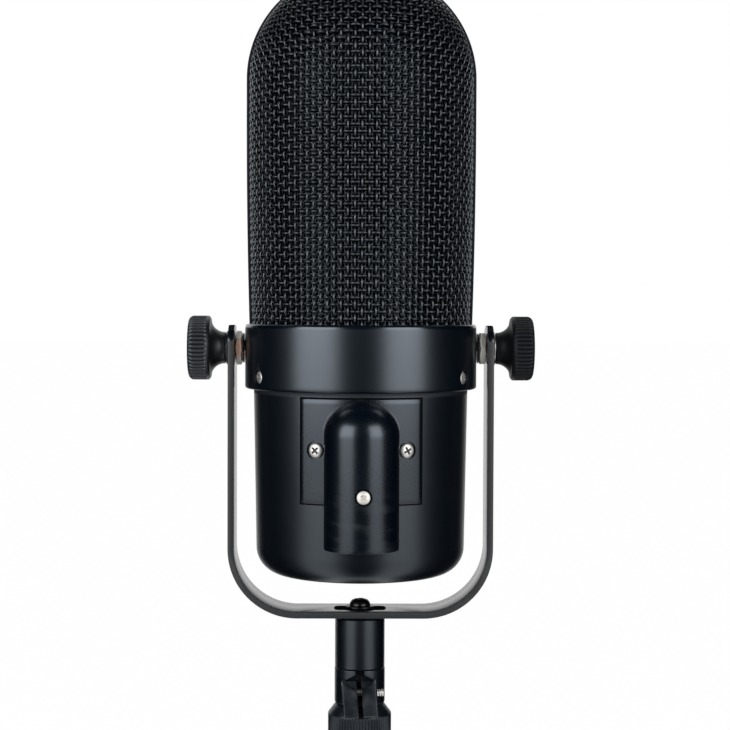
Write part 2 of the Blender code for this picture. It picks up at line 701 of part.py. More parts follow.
def hood_shape():
    """A U section that is closed at the top by a rounded end, before the can is cut away behind it."""
    back = -CAN_LOW_R / 2
    levels = [(HOOD_R, HOOD_Z), (HOOD_R, HOOD_SPRING)]
    for tilt in (20, 40, 58, 74, 86):
        lean = math.radians(tilt)
        levels.append((HOOD_R * math.cos(lean), HOOD_SPRING + HOOD_RISE * math.sin(lean)))
    shape = bmesh.new()
    rings = []
    for half, height in levels:
        outline = [(half, back), *arc((0.0, HOOD_Y), half, 0, -180, 12), (-half, back)]
        rings.append([shape.verts.new((x, y, height)) for x, y in outline])
    for lower, upper in zip(rings, rings[1:]):
        for index, point in enumerate(lower):
            after = (index + 1) % len(lower)
            shape.faces.new((point, lower[after], upper[after], upper[index]))
    shape.faces.new(rings[0])
    shape.faces.new(rings[-1])
    bmesh.ops.recalc_face_normals(shape, faces=shape.faces)
    return shape


def make_connector(body):
    def skin(offset, height):
        return (can_radius(height) + GAP + offset, height)

    # The saddle plate is a band round the can, trimmed to its width, with the hood joined on
    band = [skin(-CAN_WALL, COVER_Z), skin(COVER_T, COVER_Z), skin(COVER_T, COVER_TOP), skin(-CAN_WALL, COVER_TOP)]
    cover = add("connector_cover", lathe(band, LARGE_STEPS), BLACK_PAINT, body)
    trim = block((-COVER_HALF_W, 2 * HOOD_Y, COVER_Z - GAP), (COVER_HALF_W, -CAN_LOW_R / 2, COVER_TOP + GAP))
    combine(cover, trim, body, "INTERSECT")
    combine(cover, hood_shape(), body, "UNION")
    envelope = [(0.0, CAN_Z), skin(0.0, CAN_Z), skin(0.0, COLLAR_Z), (0.0, COLLAR_Z)]
    combine(cover, lathe(envelope, LARGE_STEPS), body, "DIFFERENCE")
    socket = rod(SOCKET_R, (0, HOOD_Y, HOOD_Z - GAP), (0, HOOD_Y, HOOD_Z + SOCKET_H), SMALL_STEPS)
    combine(cover, socket, body, "DIFFERENCE")
    passage = rod(WIRE_HOLE_R, (0, HOOD_Y, WIRE_HOLE_Z), (0, 0, WIRE_HOLE_Z))
    combine(cover, passage, body, "DIFFERENCE")

    # Screws: two hold the cover on the can, one locks the insert
    lock_z = HOOD_Z + LOCK_SCREW_UP
    lock_seat = Vector((0, HOOD_Y - HOOD_R + SCREW_RECESS, lock_z))
    front = Vector((0, -1, 0))
    recesses = [rod(LOCK_SCREW_HEAD_R + GAP, lock_seat - front * GAP, lock_seat + front * HOOD_R)]
    holes = [rod(COVER_SCREW_R + GAP, lock_seat - front * LOCK_SCREW_L, lock_seat + front * HOOD_R)]
    lock = pan_screw(LOCK_SCREW_HEAD_R, COVER_SCREW_HEAD_H, COVER_SCREW_R, LOCK_SCREW_L - GAP, lock_seat, front)
    add("connector_screw", lock, NICKEL, body)
    for side, name in ((-1, "left"), (1, "right")):
        seat, out = cover_screw_seat(side)
        recesses.append(rod(COVER_SCREW_HEAD_R + GAP, seat - out * GAP, seat + out * COVER_SCREW_L))
        holes.append(rod(COVER_SCREW_R + GAP, seat - out * COVER_SCREW_L, seat + out * COVER_SCREW_L))
        screw = pan_screw(COVER_SCREW_HEAD_R, COVER_SCREW_HEAD_H, COVER_SCREW_R, COVER_SCREW_L, seat, out)
        add(f"cover_screw_{name}", screw, NICKEL, body)
    combine(cover, gather(recesses), body, "DIFFERENCE")
    combine(cover, gather(holes), body, "DIFFERENCE")

    # The insert holds three pins and a pocket for the lock screw's tip
    insert_r = SOCKET_R - GAP
    disc = [(0.0, INSERT_Z), (insert_r, INSERT_Z), (insert_r, INSERT_TOP), (0.0, INSERT_TOP)]
    axis = Matrix.Translation((0, HOOD_Y, 0))
    insert = add("connector_insert", lathe(disc, SMALL_STEPS, axis), BLACK_PLASTIC, body)
    pockets = [rod(COVER_SCREW_R + GAP, lock_seat - front * LOCK_SCREW_L, lock_seat + front * HOOD_R)]
    for index in range(PINS):
        foot = turned(math.tau * (index + 0.5) / PINS) * PIN_CIRCLE_R + Vector((0, HOOD_Y, INSERT_Z))
        pockets.append(rod(PIN_R + GAP, foot - Vector((0, 0, GAP)), foot + Vector((0, 0, PIN_SEAT))))
        profile = [
            (0.0, PIN_SEAT - GAP),
            (PIN_R, PIN_SEAT - GAP),
            (PIN_R, PIN_R - PIN_DROP),
            (PIN_R * 0.7, PIN_R * 0.3 - PIN_DROP),
            (0.0, -PIN_DROP),
        ]
        add(f"contact_pin_{index + 1}", lathe(profile, SCREW_STEPS, Matrix.Translation(foot)), NICKEL, body)
    combine(insert, gather(pockets), body, "DIFFERENCE")


# Grille: base ring, outer lattice and inner screen

def make_grille(body):
    ring = washer(RING_R - RING_T, RING_R, COLLAR_RECESS_H - GAP, (0, 0, RING_Z), (0, 0, 1), LARGE_STEPS)
    add("grille_ring", ring, BLACK_STEEL, body)

    # Rows of points: a hem in the collar's recess, the side, then the dome up to a square net on top
    quarter = math.tau / 4
    columns = [quarter / 2 + math.tau * index / GRILLE_COLUMNS for index in range(GRILLE_COLUMNS)]
    rows = [[grille_side(turn, RING_Z) for turn in columns]]
    for row in range(GRILLE_ROWS + 1):
        rows.append([grille_side(turn, COLLAR_TOP + GRILLE_SIDE_H * row / GRILLE_ROWS) for turn in columns])
    for row in range(1, GRILLE_DOME_ROWS + 1):
        ring_points = []
        for turn in columns:
            off_axis = (turn + quarter / 2) % quarter - quarter / 2
            ring_points.append(grille_dome(turn, math.atan(math.cos(off_axis)) * row / GRILLE_DOME_ROWS))
        rows.append(ring_points)
    shape = bmesh.new()
    lines = [[shape.verts.new(point) for point in row] for row in rows]
    cells = []
    for lower, upper in zip(lines, lines[1:]):
        for index in range(GRILLE_COLUMNS):
            after = (index + 1) % GRILLE_COLUMNS
            cells.append(shape.faces.new((lower[index], lower[after], upper[after], upper[index])))
    hem = cells[:GRILLE_COLUMNS]
    side = GRILLE_COLUMNS // 4
    net = {}
    for i in range(side + 1):
        for j in range(side + 1):
            across = math.tan((i / side - 0.5) * quarter)
            along = math.tan((j / side - 0.5) * quarter)
            rise = math.atan2(1.0, math.hypot(across, along))
            net[i, j] = shape.verts.new(grille_dome(math.atan2(along, across), rise))
    for i in range(side):
        for j in range(side):
            cells.append(shape.faces.new((net[i, j], net[i + 1, j], net[i + 1, j + 1], net[i, j + 1])))
    bmesh.ops.remove_doubles(shape, verts=shape.verts, dist=GAP / 10)
    bmesh.ops.recalc_face_normals(shape, faces=shape.faces)
    openings = [cell for cell in shape.faces if cell not in set(hem)]
    bmesh.ops.inset_individual(shape, faces=openings, thickness=GRILLE_WIRE_W / 2, use_even_offset=True)
    bmesh.ops.delete(shape, geom=openings, context="FACES")
    lattice = add("outer_grille", shape, BLACK_PAINT, body)
    wall = lattice.modifiers.new("wire", "SOLIDIFY")
    wall.thickness = GRILLE_WIRE_T
    wall.offset = -1.0
    wall.use_even_offset = True

    # The inner screen is a thin shell that follows the lattice
    outside = []
    inside = []
    for row in range(SCREEN_ROWS):
        height = COLLAR_TOP + GAP + (GRILLE_SIDE_H - GAP) * row / SCREEN_ROWS
        outside.append((grille_radius(height) - SCREEN_INSET, height))
        inside.append((grille_radius(height) - SCREEN_INSET - SCREEN_T, height))
    for step in range(SCREEN_DOME_ROWS + 1):
        rise = quarter * step / SCREEN_DOME_ROWS
        for points, inset in ((outside, SCREEN_INSET), (inside, SCREEN_INSET + SCREEN_T)):
            level = (GRILLE_MAX_R - inset) * math.cos(rise) if step < SCREEN_DOME_ROWS else 0.0
            points.append((level, DOME_Z + (GRILLE_DOME_H - inset) * math.sin(rise)))
    add("inner_screen", lathe([*reversed(outside), *inside], SCREEN_STEPS), BLACK_STEEL, body)


# Chassis plate and ribbon motor

def make_motor(body):
    plate_profile = [(0.0, PLATE_Z), (PLATE_R, PLATE_Z), (PLATE_R, PLATE_TOP), (0.0, PLATE_TOP)]
    plate = add("chassis_plate", lathe(plate_profile, LARGE_STEPS), STEEL, body)
    lead_hole = (0, MOTOR_FOOT_D / 2 + 2 * PLATE_HOLE_R)
    holes = [rod(PLATE_HOLE_R, (*lead_hole, PLATE_Z - PLATE_T), (*lead_hole, PLATE_TOP + PLATE_T))]
    for index in range(CHASSIS_SCREWS):
        foot = turned(math.tau * index / CHASSIS_SCREWS) * CHASSIS_SCREW_CIRCLE_R
        low = foot + Vector((0, 0, PLATE_Z - PLATE_T))
        holes.append(rod(CHASSIS_SCREW_R + GAP, low, foot + Vector((0, 0, PLATE_TOP + PLATE_T))))
        seat = foot + Vector((0, 0, PLATE_TOP + GAP))
        screw = pan_screw(CHASSIS_SCREW_HEAD_R, CHASSIS_SCREW_HEAD_H, CHASSIS_SCREW_R, CHASSIS_SCREW_L, seat, (0, 0, 1))
        add(f"chassis_screw_{index + 1}", screw, NICKEL, body)
    combine(plate, gather(holes), body, "DIFFERENCE")

    # The frame is a window of soft iron on a foot
    top = MOTOR_Z + MOTOR_H
    window_z = MOTOR_Z + MOTOR_BASE_H
    window_top = top - MOTOR_HEAD_H
    window_x = MOTOR_W / 2 - MOTOR_RAIL
    frame = add("motor_frame", block((-MOTOR_W / 2, -MOTOR_D / 2, MOTOR_Z), (MOTOR_W / 2, MOTOR_D / 2, top)), STEEL, body)
    foot = block((-MOTOR_W / 2, -MOTOR_FOOT_D / 2, MOTOR_Z), (MOTOR_W / 2, MOTOR_FOOT_D / 2, MOTOR_Z + MOTOR_FOOT_T))
    combine(frame, foot, body, "UNION")
    window = block((-window_x, -MOTOR_D, window_z), (window_x, MOTOR_D, window_top))
    combine(frame, window, body, "DIFFERENCE")

    # Clamp bars at both ends of the window hold the ribbon
    wave = RIBBON_WAVE + RIBBON_T / 2
    for name, low, slot_low in (
        ("bottom", window_z + GAP, window_z + CLAMP_BAR_H - RIBBON_SEAT),
        ("top", window_top - GAP - CLAMP_BAR_H, window_top - GAP - 2 * CLAMP_BAR_H),
    ):
        high = low + CLAMP_BAR_H
        bar = block((-CLAMP_BAR_W / 2, -CLAMP_BAR_D / 2, low), (CLAMP_BAR_W / 2, CLAMP_BAR_D / 2, high))
        clamp = add(f"ribbon_clamp_{name}", bar, BRASS, body)
        slot_high = slot_low + CLAMP_BAR_H + RIBBON_SEAT + GAP
        slot = block((-RIBBON_W / 2 - GAP, -wave - GAP, slot_low), (RIBBON_W / 2 + GAP, wave + GAP, slot_high))
        combine(clamp, slot, body, "DIFFERENCE")

    # The ribbon is a strip with shallow pleats
    ribbon_z = window_z + GAP + CLAMP_BAR_H - RIBBON_SEAT + GAP
    ribbon_top = window_top - GAP - CLAMP_BAR_H + RIBBON_SEAT - GAP
    folds = []
    for index in range(2 * RIBBON_PLEATS + 1):
        offset = RIBBON_WAVE * (-1) ** index if 0 < index < 2 * RIBBON_PLEATS else 0.0
        folds.append((offset, ribbon_z + (ribbon_top - ribbon_z) * index / (2 * RIBBON_PLEATS)))
    outline = [(y - RIBBON_T / 2, z) for y, z in folds] + [(y + RIBBON_T / 2, z) for y, z in reversed(folds)]
    add("ribbon", prism(outline, "X", -RIBBON_W / 2, RIBBON_W / 2), ALUMINIUM, body)

    # Magnets stand against the frame's rails, and the pole pieces taper towards the ribbon
    low = window_z + GAP + CLAMP_BAR_H + GAP
    high = window_top - GAP - CLAMP_BAR_H - GAP
    for side, name in ((-1, "left"), (1, "right")):
        outer = side * (window_x - GAP)
        inner = side * (window_x - GAP - MAGNET_W)
        magnet = block((min(outer, inner), -MAGNET_D / 2, low), (max(outer, inner), MAGNET_D / 2, high))
        add(f"magnet_{name}", magnet, MAGNET, body)
        back = inner - side * GAP
        tip = side * (RIBBON_W / 2 + GAP)
        pole = [(back, -MAGNET_D / 2), (tip, -POLE_TIP_D / 2), (tip, POLE_TIP_D / 2), (back, MAGNET_D / 2)]
        add(f"pole_piece_{name}", prism(pole, "Z", low, high), STEEL, body)


# Transformer and its leads

def make_transformer(body):
    core_z = CORE_TOP - CORE_H
    core = add("transformer_core", block((-CORE_W / 2, -CORE_D / 2, core_z), (CORE_W / 2, CORE_D / 2, CORE_TOP)), STEEL, body)
    window_x = CORE_W / 2 - CORE_SIDE_W
    window_z = core_z + CORE_YOKE_H
    window_top = CORE_TOP - CORE_YOKE_H
    windows = []
    for side in (-1, 1):
        inner, outer = sorted((side * CORE_LEG_W / 2, side * window_x))
        windows.append(block((inner, -CORE_D, window_z), (outer, CORE_D, window_top)))
    combine(core, gather(windows), body, "DIFFERENCE")

    # The coil fills the windows round the middle leg
    coil_d = CORE_D / 2 + COIL_PROUD
    winding = block((-window_x + GAP, -coil_d, window_z + GAP), (window_x - GAP, coil_d, window_top - GAP))
    coil = add("transformer_coil", winding, COPPER, body)
    leg = block((-CORE_LEG_W / 2 - GAP, -CORE_D / 2 - GAP, core_z), (CORE_LEG_W / 2 + GAP, CORE_D / 2 + GAP, CORE_TOP))
    combine(coil, leg, body, "DIFFERENCE")

    # Two leads run from the coil through the can's wall to the insert
    start_z = (window_z + window_top) / 2
    wall_y = -can_radius(WIRE_HOLE_Z)
    for side, name in ((-1, "left"), (1, "right")):
        route = [
            (-coil_d - GAP - LEAD_R / 4, start_z),
            (-coil_d - 4 * LEAD_R, start_z),
            ((wall_y - coil_d) / 2, (start_z + WIRE_HOLE_Z) / 2),
            (wall_y + CAN_WALL + 2 * LEAD_R, WIRE_HOLE_Z),
            (wall_y - 2 * LEAD_R, WIRE_HOLE_Z),
            (HOOD_Y + LEAD_R, WIRE_HOLE_Z - LEAD_R),
            (HOOD_Y, INSERT_TOP + GAP),
        ]
        add_lead(f"output_lead_{name}", [Vector((side * LEAD_X, y, z)) for y, z in route], body)


def add_lead(name, route, body):
    """A thin insulated wire along a smooth curve through the points of its route."""
    padded = [2 * route[0] - route[1], *route, 2 * route[-1] - route[-2]]
    spans = len(route) - 1
    points = []
    for step in range(LEAD_STEPS + 1):
        place = spans * step / LEAD_STEPS
        index = min(int(place), spans - 1)
        t = place - index
        a, b, c, d = padded[index:index + 4]
        smooth = (2 * b + (c - a) * t + (2 * a - 5 * b + 4 * c - d) * t ** 2 + (3 * b - a - 3 * c + d) * t ** 3) / 2
        points.append(smooth - body.at)
    curve = bpy.data.curves.new(name, "CURVE")
    curve.dimensions = "3D"
    curve.bevel_depth = LEAD_R
    curve.bevel_resolution = 1
    curve.use_fill_caps = True
    line = curve.splines.new("POLY")
    line.points.add(len(points) - 1)
    for target, point in zip(line.points, points):
        target.co = (*point, 1.0)
    curve.materials.append(RUBBER)
    lead = bpy.data.objects.new(name, curve)
    lead.parent = body.empty
    bpy.context.collection.objects.link(lead)


for old in list(bpy.data.objects):
    bpy.data.objects.remove(old, do_unlink=True)

BLACK_PAINT = finish("black_paint", (0.012, 0.014, 0.016), 0.42)
BLACK_STEEL = finish("black_steel", (0.015, 0.015, 0.016), 0.5, 0.6)
BLACK_PLASTIC = finish("black_plastic", (0.016, 0.016, 0.017), 0.55)
NICKEL = finish("nickel", (0.72, 0.70, 0.67), 0.22, 1.0)
STEEL = finish("steel", (0.46, 0.46, 0.47), 0.35, 1.0)
MAGNET = finish("magnet", (0.20, 0.20, 0.21), 0.5, 0.8)
BRASS = finish("brass", (0.60, 0.45, 0.20), 0.35, 1.0)
ALUMINIUM = finish("aluminium", (0.80, 0.80, 0.80), 0.3, 1.0)
COPPER = finish("copper", (0.55, 0.25, 0.13), 0.4, 1.0)
RUBBER = finish("rubber", (0.03, 0.03, 0.03), 0.7)

stand = Body("stand_axis", (0, 0, 0))
clamp_body = Body("clamp_axis", (0, 0, SLEEVE_Z), stand)
post_body = Body("pan_axis", (0, 0, POST_Z), clamp_body)
yoke_body = Body("shift_axis", (0, 0, FOOT_Z), post_body)
head_body = Body("tilt_axis", (0, 0, PIVOT_Z), yoke_body)

make_stand_nut(stand)
make_clamp(clamp_body)
make_post(post_body)
make_strap(yoke_body)
for pivot_side, pivot_name in ((-1, "left"), (1, "right")):
    washer_axis = Body(f"washer_axis_{pivot_name}", (pivot_side * KNOB_WASHER_X, 0, PIVOT_Z), yoke_body)
    knob_axis = Body(f"knob_axis_{pivot_name}", (pivot_side * KNOB_X, 0, PIVOT_Z), washer_axis)
    make_pivot(pivot_side, pivot_name, head_body, washer_axis, knob_axis)
make_collar(head_body)
make_housing(head_body)
make_connector(head_body)
make_grille(head_body)
make_motor(head_body)
make_transformer(head_body)
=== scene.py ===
# %% [markdown]
# # A ribbon microphone in its yoke
# The packed model already says where every piece is and how it moves. This lesson gives those
# pieces their real surfaces: woven wire, satin paint, ribbed plastic and bright little screws.
# Each step first says what the piece is on the real microphone, then how it is made here.

import math

import bmesh
import bpy
import numpy as np
from mathutils import Matrix, Vector


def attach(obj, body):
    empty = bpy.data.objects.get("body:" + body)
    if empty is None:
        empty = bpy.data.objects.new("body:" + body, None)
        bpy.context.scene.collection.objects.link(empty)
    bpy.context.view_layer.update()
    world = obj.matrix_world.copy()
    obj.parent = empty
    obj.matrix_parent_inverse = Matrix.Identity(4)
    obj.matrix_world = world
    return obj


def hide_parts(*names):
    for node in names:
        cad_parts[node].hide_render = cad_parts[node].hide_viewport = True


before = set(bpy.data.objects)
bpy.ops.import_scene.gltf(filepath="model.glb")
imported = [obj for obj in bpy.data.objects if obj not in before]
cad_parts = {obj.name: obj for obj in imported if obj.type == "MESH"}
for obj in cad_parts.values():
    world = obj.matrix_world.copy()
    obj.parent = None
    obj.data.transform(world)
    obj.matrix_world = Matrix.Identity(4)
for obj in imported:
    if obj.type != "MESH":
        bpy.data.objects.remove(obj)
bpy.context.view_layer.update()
MM = 0.001
print("nodes in the frame:", len(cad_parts))

# %% [markdown]
# ## Camera
# The photograph was taken from the connector's side, a little above the collar, with a long lens.
# A long lens keeps the yoke's two arms nearly parallel, so the camera stands 0.6 m away. It stands
# a touch to the left of the middle and looks two degrees down.

# %% Camera
CAMERA_PLACE = (-4.9 * MM, -593 * MM, 146 * MM)
CAMERA_DOWN = math.radians(1.98)
CAMERA_ROLL = math.radians(-0.2)
CAMERA_TURN = math.radians(-0.6)
LENS_MM = 90.0
SENSOR_MM = 36.0
scene = bpy.context.scene


def linked(name, data):
    """A new object in the scene."""
    made = bpy.data.objects.new(name, data)
    scene.collection.objects.link(made)
    return made


camera = linked("camera", bpy.data.cameras.new("camera"))
camera.data.lens = LENS_MM
camera.data.sensor_width = SENSOR_MM
camera.data.clip_start = 0.01
camera.location = CAMERA_PLACE
camera.rotation_euler = (math.pi / 2 - CAMERA_DOWN, CAMERA_ROLL, CAMERA_TURN)
scene.camera = camera
scene.view_settings.view_transform = "Standard"
print("camera at", [round(value, 4) for value in camera.location])

# %% [markdown]
# ## Nodes written as sums
# A shader is easier to read as `1 - mask * 0.5` than as a row of boxes. `Link` wraps one output
# socket and lets Python's operators add Math nodes. `Graph.add` makes any other node: first its
# settings, then the values or links of its sockets.


# %% Links and graphs
class Link:
    """One output socket that can be used in sums."""

    def __init__(self, graph, socket):
        self.graph = graph
        self.socket = socket

    def math(self, operation, first, second):
        return self.graph.add("ShaderNodeMath", {"operation": operation}, {0: first, 1: second})

    def __add__(self, other):
        return self.math("ADD", self, other)

    def __sub__(self, other):
        return self.math("SUBTRACT", self, other)

    def __rsub__(self, other):
        return self.math("SUBTRACT", other, self)

    def __mul__(self, other):
        return self.math("MULTIPLY", self, other)

    def __abs__(self):
        return self.graph.add("ShaderNodeMath", {"operation": "ABSOLUTE"}, {0: self})

    __radd__ = __add__
    __rmul__ = __mul__


class Graph:
    """A node tree with one way to add a node."""

    def __init__(self, tree):
        self.tree = tree

    def add(self, kind, settings=None, inputs=None, output=0):
        made = self.tree.nodes.new(kind)
        for name, value in (settings or {}).items():
            if name == "stops":
                for stop, (position, grey) in zip(made.color_ramp.elements, value):
                    stop.position = position
                    stop.color = (grey, grey, grey, 1.0)
            else:
                setattr(made, name, value)
        for key, value in (inputs or {}).items():
            self.put(made.inputs[key], value)
        return Link(self, made.outputs[output]) if len(made.outputs) else made

    def put(self, socket, value):
        if isinstance(value, Link):
            self.tree.links.new(value.socket, socket)
        else:
            socket.default_value = value


print("a link knows", [name for name in vars(Link) if name.startswith("__r")])

# %% [markdown]
# ## Finishes
# Every finish starts from the same shader. Constants sit on its own sockets, and what changes
# over the surface comes from noise on Object coordinates, which are metres here: a noise scale of
# 1000 has features of about a millimetre.


# %% Start of a finish
class Finish:
    """A material with its shader, its graph and the coordinates that its patterns read."""

    def __init__(self, name, metallic=0.0, specular=0.5):
        self.material = bpy.data.materials.new(name)
        self.material.use_nodes = True
        self.graph = Graph(self.material.node_tree)
        self.shader = self.material.node_tree.nodes["Principled BSDF"]
        self.shader.inputs["Metallic"].default_value = metallic
        self.shader.inputs["Specular IOR Level"].default_value = specular
        self.place = self.graph.add("ShaderNodeTexCoord", output="Object")

    def noise(self, size_mm, detail=2.0):
        """Smooth random values from 0 to 1 with features of a size."""
        inputs = {"Vector": self.place, "Scale": 1.0 / (size_mm * MM), "Detail": detail}
        return self.graph.add("ShaderNodeTexNoise", None, inputs)

    def uneven(self, amount, size_mm, detail=2.0):
        """Ups and downs round zero."""
        return (self.noise(size_mm, detail) - 0.5) * amount

    def ramp(self, value, low, high):
        """Stretch the values between two stops to the range from 0 to 1."""
        return self.graph.add("ShaderNodeValToRGB", {"stops": ((low, 0.0), (high, 1.0))}, {0: value})

    def rise(self, length, low_mm, high_mm):
        """0 up to one length in millimetres and 1 from another."""
        return self.ramp((length - low_mm * MM) * (1.0 / ((high_mm - low_mm) * MM)), 0.0, 1.0)

    def blend(self, mask, first, second):
        """A colour between two colours."""
        inputs = {0: mask, 6: (*first, 1.0), 7: (*second, 1.0)}
        return self.graph.add("ShaderNodeMix", {"data_type": "RGBA"}, inputs, output=2)

    def part(self, axis):
        """One coordinate of the place, in metres."""
        return self.graph.add("ShaderNodeSeparateXYZ", None, {0: self.place}, output=axis)

    def wave(self, phase):
        return self.graph.add("ShaderNodeMath", {"operation": "COSINE"}, {0: phase})

    def colour(self, value):
        self.graph.put(self.shader.inputs["Base Color"], value)

    def roughness(self, value):
        self.graph.put(self.shader.inputs["Roughness"], value)

    def tint(self, colour):
        self.shader.inputs["Specular Tint"].default_value = (*colour, 1.0)

    def relief(self, height, depth_mm, strength=1.0):
        """Bump of a depth in millimetres."""
        inputs = {"Height": height, "Distance": depth_mm * MM, "Strength": strength}
        self.graph.put(self.shader.inputs["Normal"], self.graph.add("ShaderNodeBump", None, inputs))

    def show(self, mask, painted_shade):
        """Show the shader where a mask is 1 and a flat colour of painted shade where it is 0."""
        plain = self.graph.add("ShaderNodeBsdfDiffuse", None, {"Color": (*painted_shade, 1.0)})
        inputs = {0: mask, 1: plain, 2: Link(self.graph, self.shader.outputs[0])}
        mixed = self.graph.add("ShaderNodeMixShader", None, inputs)
        self.graph.put(self.material.node_tree.nodes["Material Output"].inputs["Surface"], mixed)

    def edges(self, low, high):
        """A mask of the surface's outer edges."""
        return self.ramp(self.graph.add("ShaderNodeNewGeometry", output="Pointiness"), low, high)


print("finishes read Object coordinates in metres")

# %% [markdown]
# ### Satin black paint
# The collar, the housing, the yoke and the stand fitting wear the same satin paint. It is nearly
# black, a little blue where light falls on it, and has a very fine orange peel. Handling leaves
# broad, faint patches of different gloss. The outer edges are painted a trifle lighter, partly wear
# and partly a painted sheen.


# %% Paint
PAINT_BLACK = (0.0006, 0.0026, 0.0058)
PAINT_TINT = (0.89, 1.0, 1.12)
WEAR_AND_SHEEN_TINT = (0.96, 1.0, 1.08)
UNDER_WIRE_SHADE = (0.0006, 0.0007, 0.0008)
SMUDGE_SCALE = 90.0
SMUDGE_STRETCH = (1.0, 1.0, 4.0)
SMUDGE_FADE = (82.8, 92.0)


def paint(name, roughness, peel_mm, smudge=0.0, wear_and_sheen_grey=0.036, specular=0.80, peel_depth=0.006, bands=()):
    """Satin paint. Each band is two heights in millimetres and the change of roughness between them."""
    finish = Finish(name, specular=specular)
    finish.tint(PAINT_TINT)
    # Lighter outer edges: partly wear and partly a painted sheen.
    wear_and_sheen = finish.edges(0.53, 0.62) * finish.ramp(finish.noise(3.0, 4.0), 0.35, 0.65)
    finish.colour(finish.blend(wear_and_sheen, PAINT_BLACK, [share * wear_and_sheen_grey for share in WEAR_AND_SHEEN_TINT]))
    gloss = roughness + finish.uneven(0.05, 14.0, 5.0) + finish.uneven(0.04, 0.8, 3.0)
    if smudge:
        inputs = {"Vector": finish.place, "Scale": SMUDGE_STRETCH}
        stretched = finish.graph.add("ShaderNodeMapping", None, inputs)
        inputs = {"Vector": stretched, "Scale": SMUDGE_SCALE, "Detail": 4.0}
        wiped = finish.graph.add("ShaderNodeTexNoise", None, inputs)
        low_down = 1.0 - finish.rise(finish.part("Z"), *SMUDGE_FADE)
        gloss = gloss + finish.ramp(wiped, 0.50, 0.66) * low_down * smudge
    for start, end, change in bands:
        gloss = gloss + finish.rise(finish.part("Z"), start, end) * change
    finish.roughness(gloss)
    finish.relief(finish.noise(peel_mm), peel_depth)
    return finish


def wire_paint(name, roughness, specular):
    """Paint on woven wire, with painted shade where the wire dives under another."""
    finish = paint(name, roughness, 0.30, specular=specular)
    lifted = finish.graph.add("ShaderNodeAttribute", {"attribute_name": "lift"}, output="Fac")
    # Painted shade: where the wire lies low in the weave, a flat near-black shows instead of the paint.
    finish.show(finish.ramp(lifted, 0.10, 0.70), UNDER_WIRE_SHADE)
    return finish.material


PAINT = paint("collar_paint", 0.31, 0.45, bands=[(137.4, 137.8, -0.10)]).material
CAN_PAINT = paint("housing_paint", 0.345, 0.45, bands=[(116.2, 117.2, 0.30)]).material
HOOD_PAINT = paint("hood_paint", 0.27, 0.40, smudge=0.16, wear_and_sheen_grey=0.04, specular=0.68,
                   peel_depth=0.001).material
FITTING_PAINT = paint("fitting_paint", 0.35, 0.30, wear_and_sheen_grey=0.045, specular=0.86).material
NUT_PAINT = paint("stand_nut_paint", 0.37, 0.30, wear_and_sheen_grey=0.04, specular=0.70).material
WIRE_PAINT = wire_paint("upright_wire_paint", 0.25, 1.0)
LEVEL_PAINT = wire_paint("level_wire_paint", 0.29, 0.82)
HOOP_PAINT = paint("hoop_paint", 0.50, 0.30, specular=0.15).material
print("paints:", PAINT.name, CAN_PAINT.name, HOOD_PAINT.name, FITTING_PAINT.name, WIRE_PAINT.name)

# %% [markdown]
# ### Paint on the yoke's strip
# The strip's broad faces are as smooth as the rolled steel under the paint, and mirror the bright
# background at a flat angle. Its narrow edges were sheared and stay rough. Its top ends are painted
# a flat dark grey in place of their reflection, as painted shade. The distance from the strip's
# middle tells them apart, whichever way the yoke is turned.

# %% Strip paint
STRAP_HALF_W = 9.0
STRAP_MIDDLE = 41.7
STRAP_END_FADE = (136.6, 137.2)
STRAP_GLOSS = 0.22
TOP_END_SHADE = (0.014, 0.015, 0.016)
strip = paint("strip_paint", STRAP_GLOSS, 0.35, wear_and_sheen_grey=0.012, specular=1.0)
strip.tint((1.0, 0.99, 0.98))
sheared = strip.rise(abs(strip.part("Y")), 0.972 * STRAP_HALF_W, 0.988 * STRAP_HALF_W)
strip.roughness(STRAP_GLOSS + sheared * 0.35 + strip.uneven(0.05, 2.0, 4.0))
between_faces = 1.0 - strip.rise(abs(abs(strip.part("X")) - STRAP_MIDDLE * MM), 0.90, 0.97)
# Painted shade: the strip's top ends show a flat dark grey instead of the paint's reflection.
strip.show(1.0 - strip.rise(strip.part("Z"), *STRAP_END_FADE) * between_faces, TOP_END_SHADE)
YOKE_PAINT = strip.material
print("edges are rough beyond", round(0.98 * STRAP_HALF_W, 2), "mm from the strip's middle")

# %% [markdown]
# ### Moulded plastic, plated metal and plain metals
# The knobs are matte moulded plastic with a fine spark-eroded grain. The left knob's plastic
# reflects more strongly than the right one's: a lit and a shaded copy of one material. Screws and
# nuts are bright nickel, with polishing marks that only show in their reflections. The right nut,
# the upper and lower flats of the left one and part of the lock screw's colour are pale diffuse
# white, a painted reflection; the left nut's front and back flats are copper-coloured. The clamp's
# screw is painted dark in its middle, painted shade deep in the slot. The pieces inside get plain
# metals with a little tarnish, so that they look right when the grille is taken off.


# %% Plastic and metals
KNOB_BLACK = (0.0045, 0.0052, 0.0064)
NICKEL_COLOUR = (0.88, 0.87, 0.84)
COPPER_TONE = (1.0, 0.58, 0.43)


def moulded(name, colour, roughness, specular=0.62):
    """Plastic with clouds of a lighter grey and a fine grain."""
    finish = Finish(name, specular=specular)
    finish.tint((0.92, 1.0, 1.08))
    finish.colour(finish.blend(finish.noise(5.0, 4.0), colour, [value * 1.5 for value in colour]))
    finish.roughness(roughness + finish.uneven(0.12, 0.6))
    finish.relief(finish.noise(0.22, 3.0), 0.012)
    return finish.material


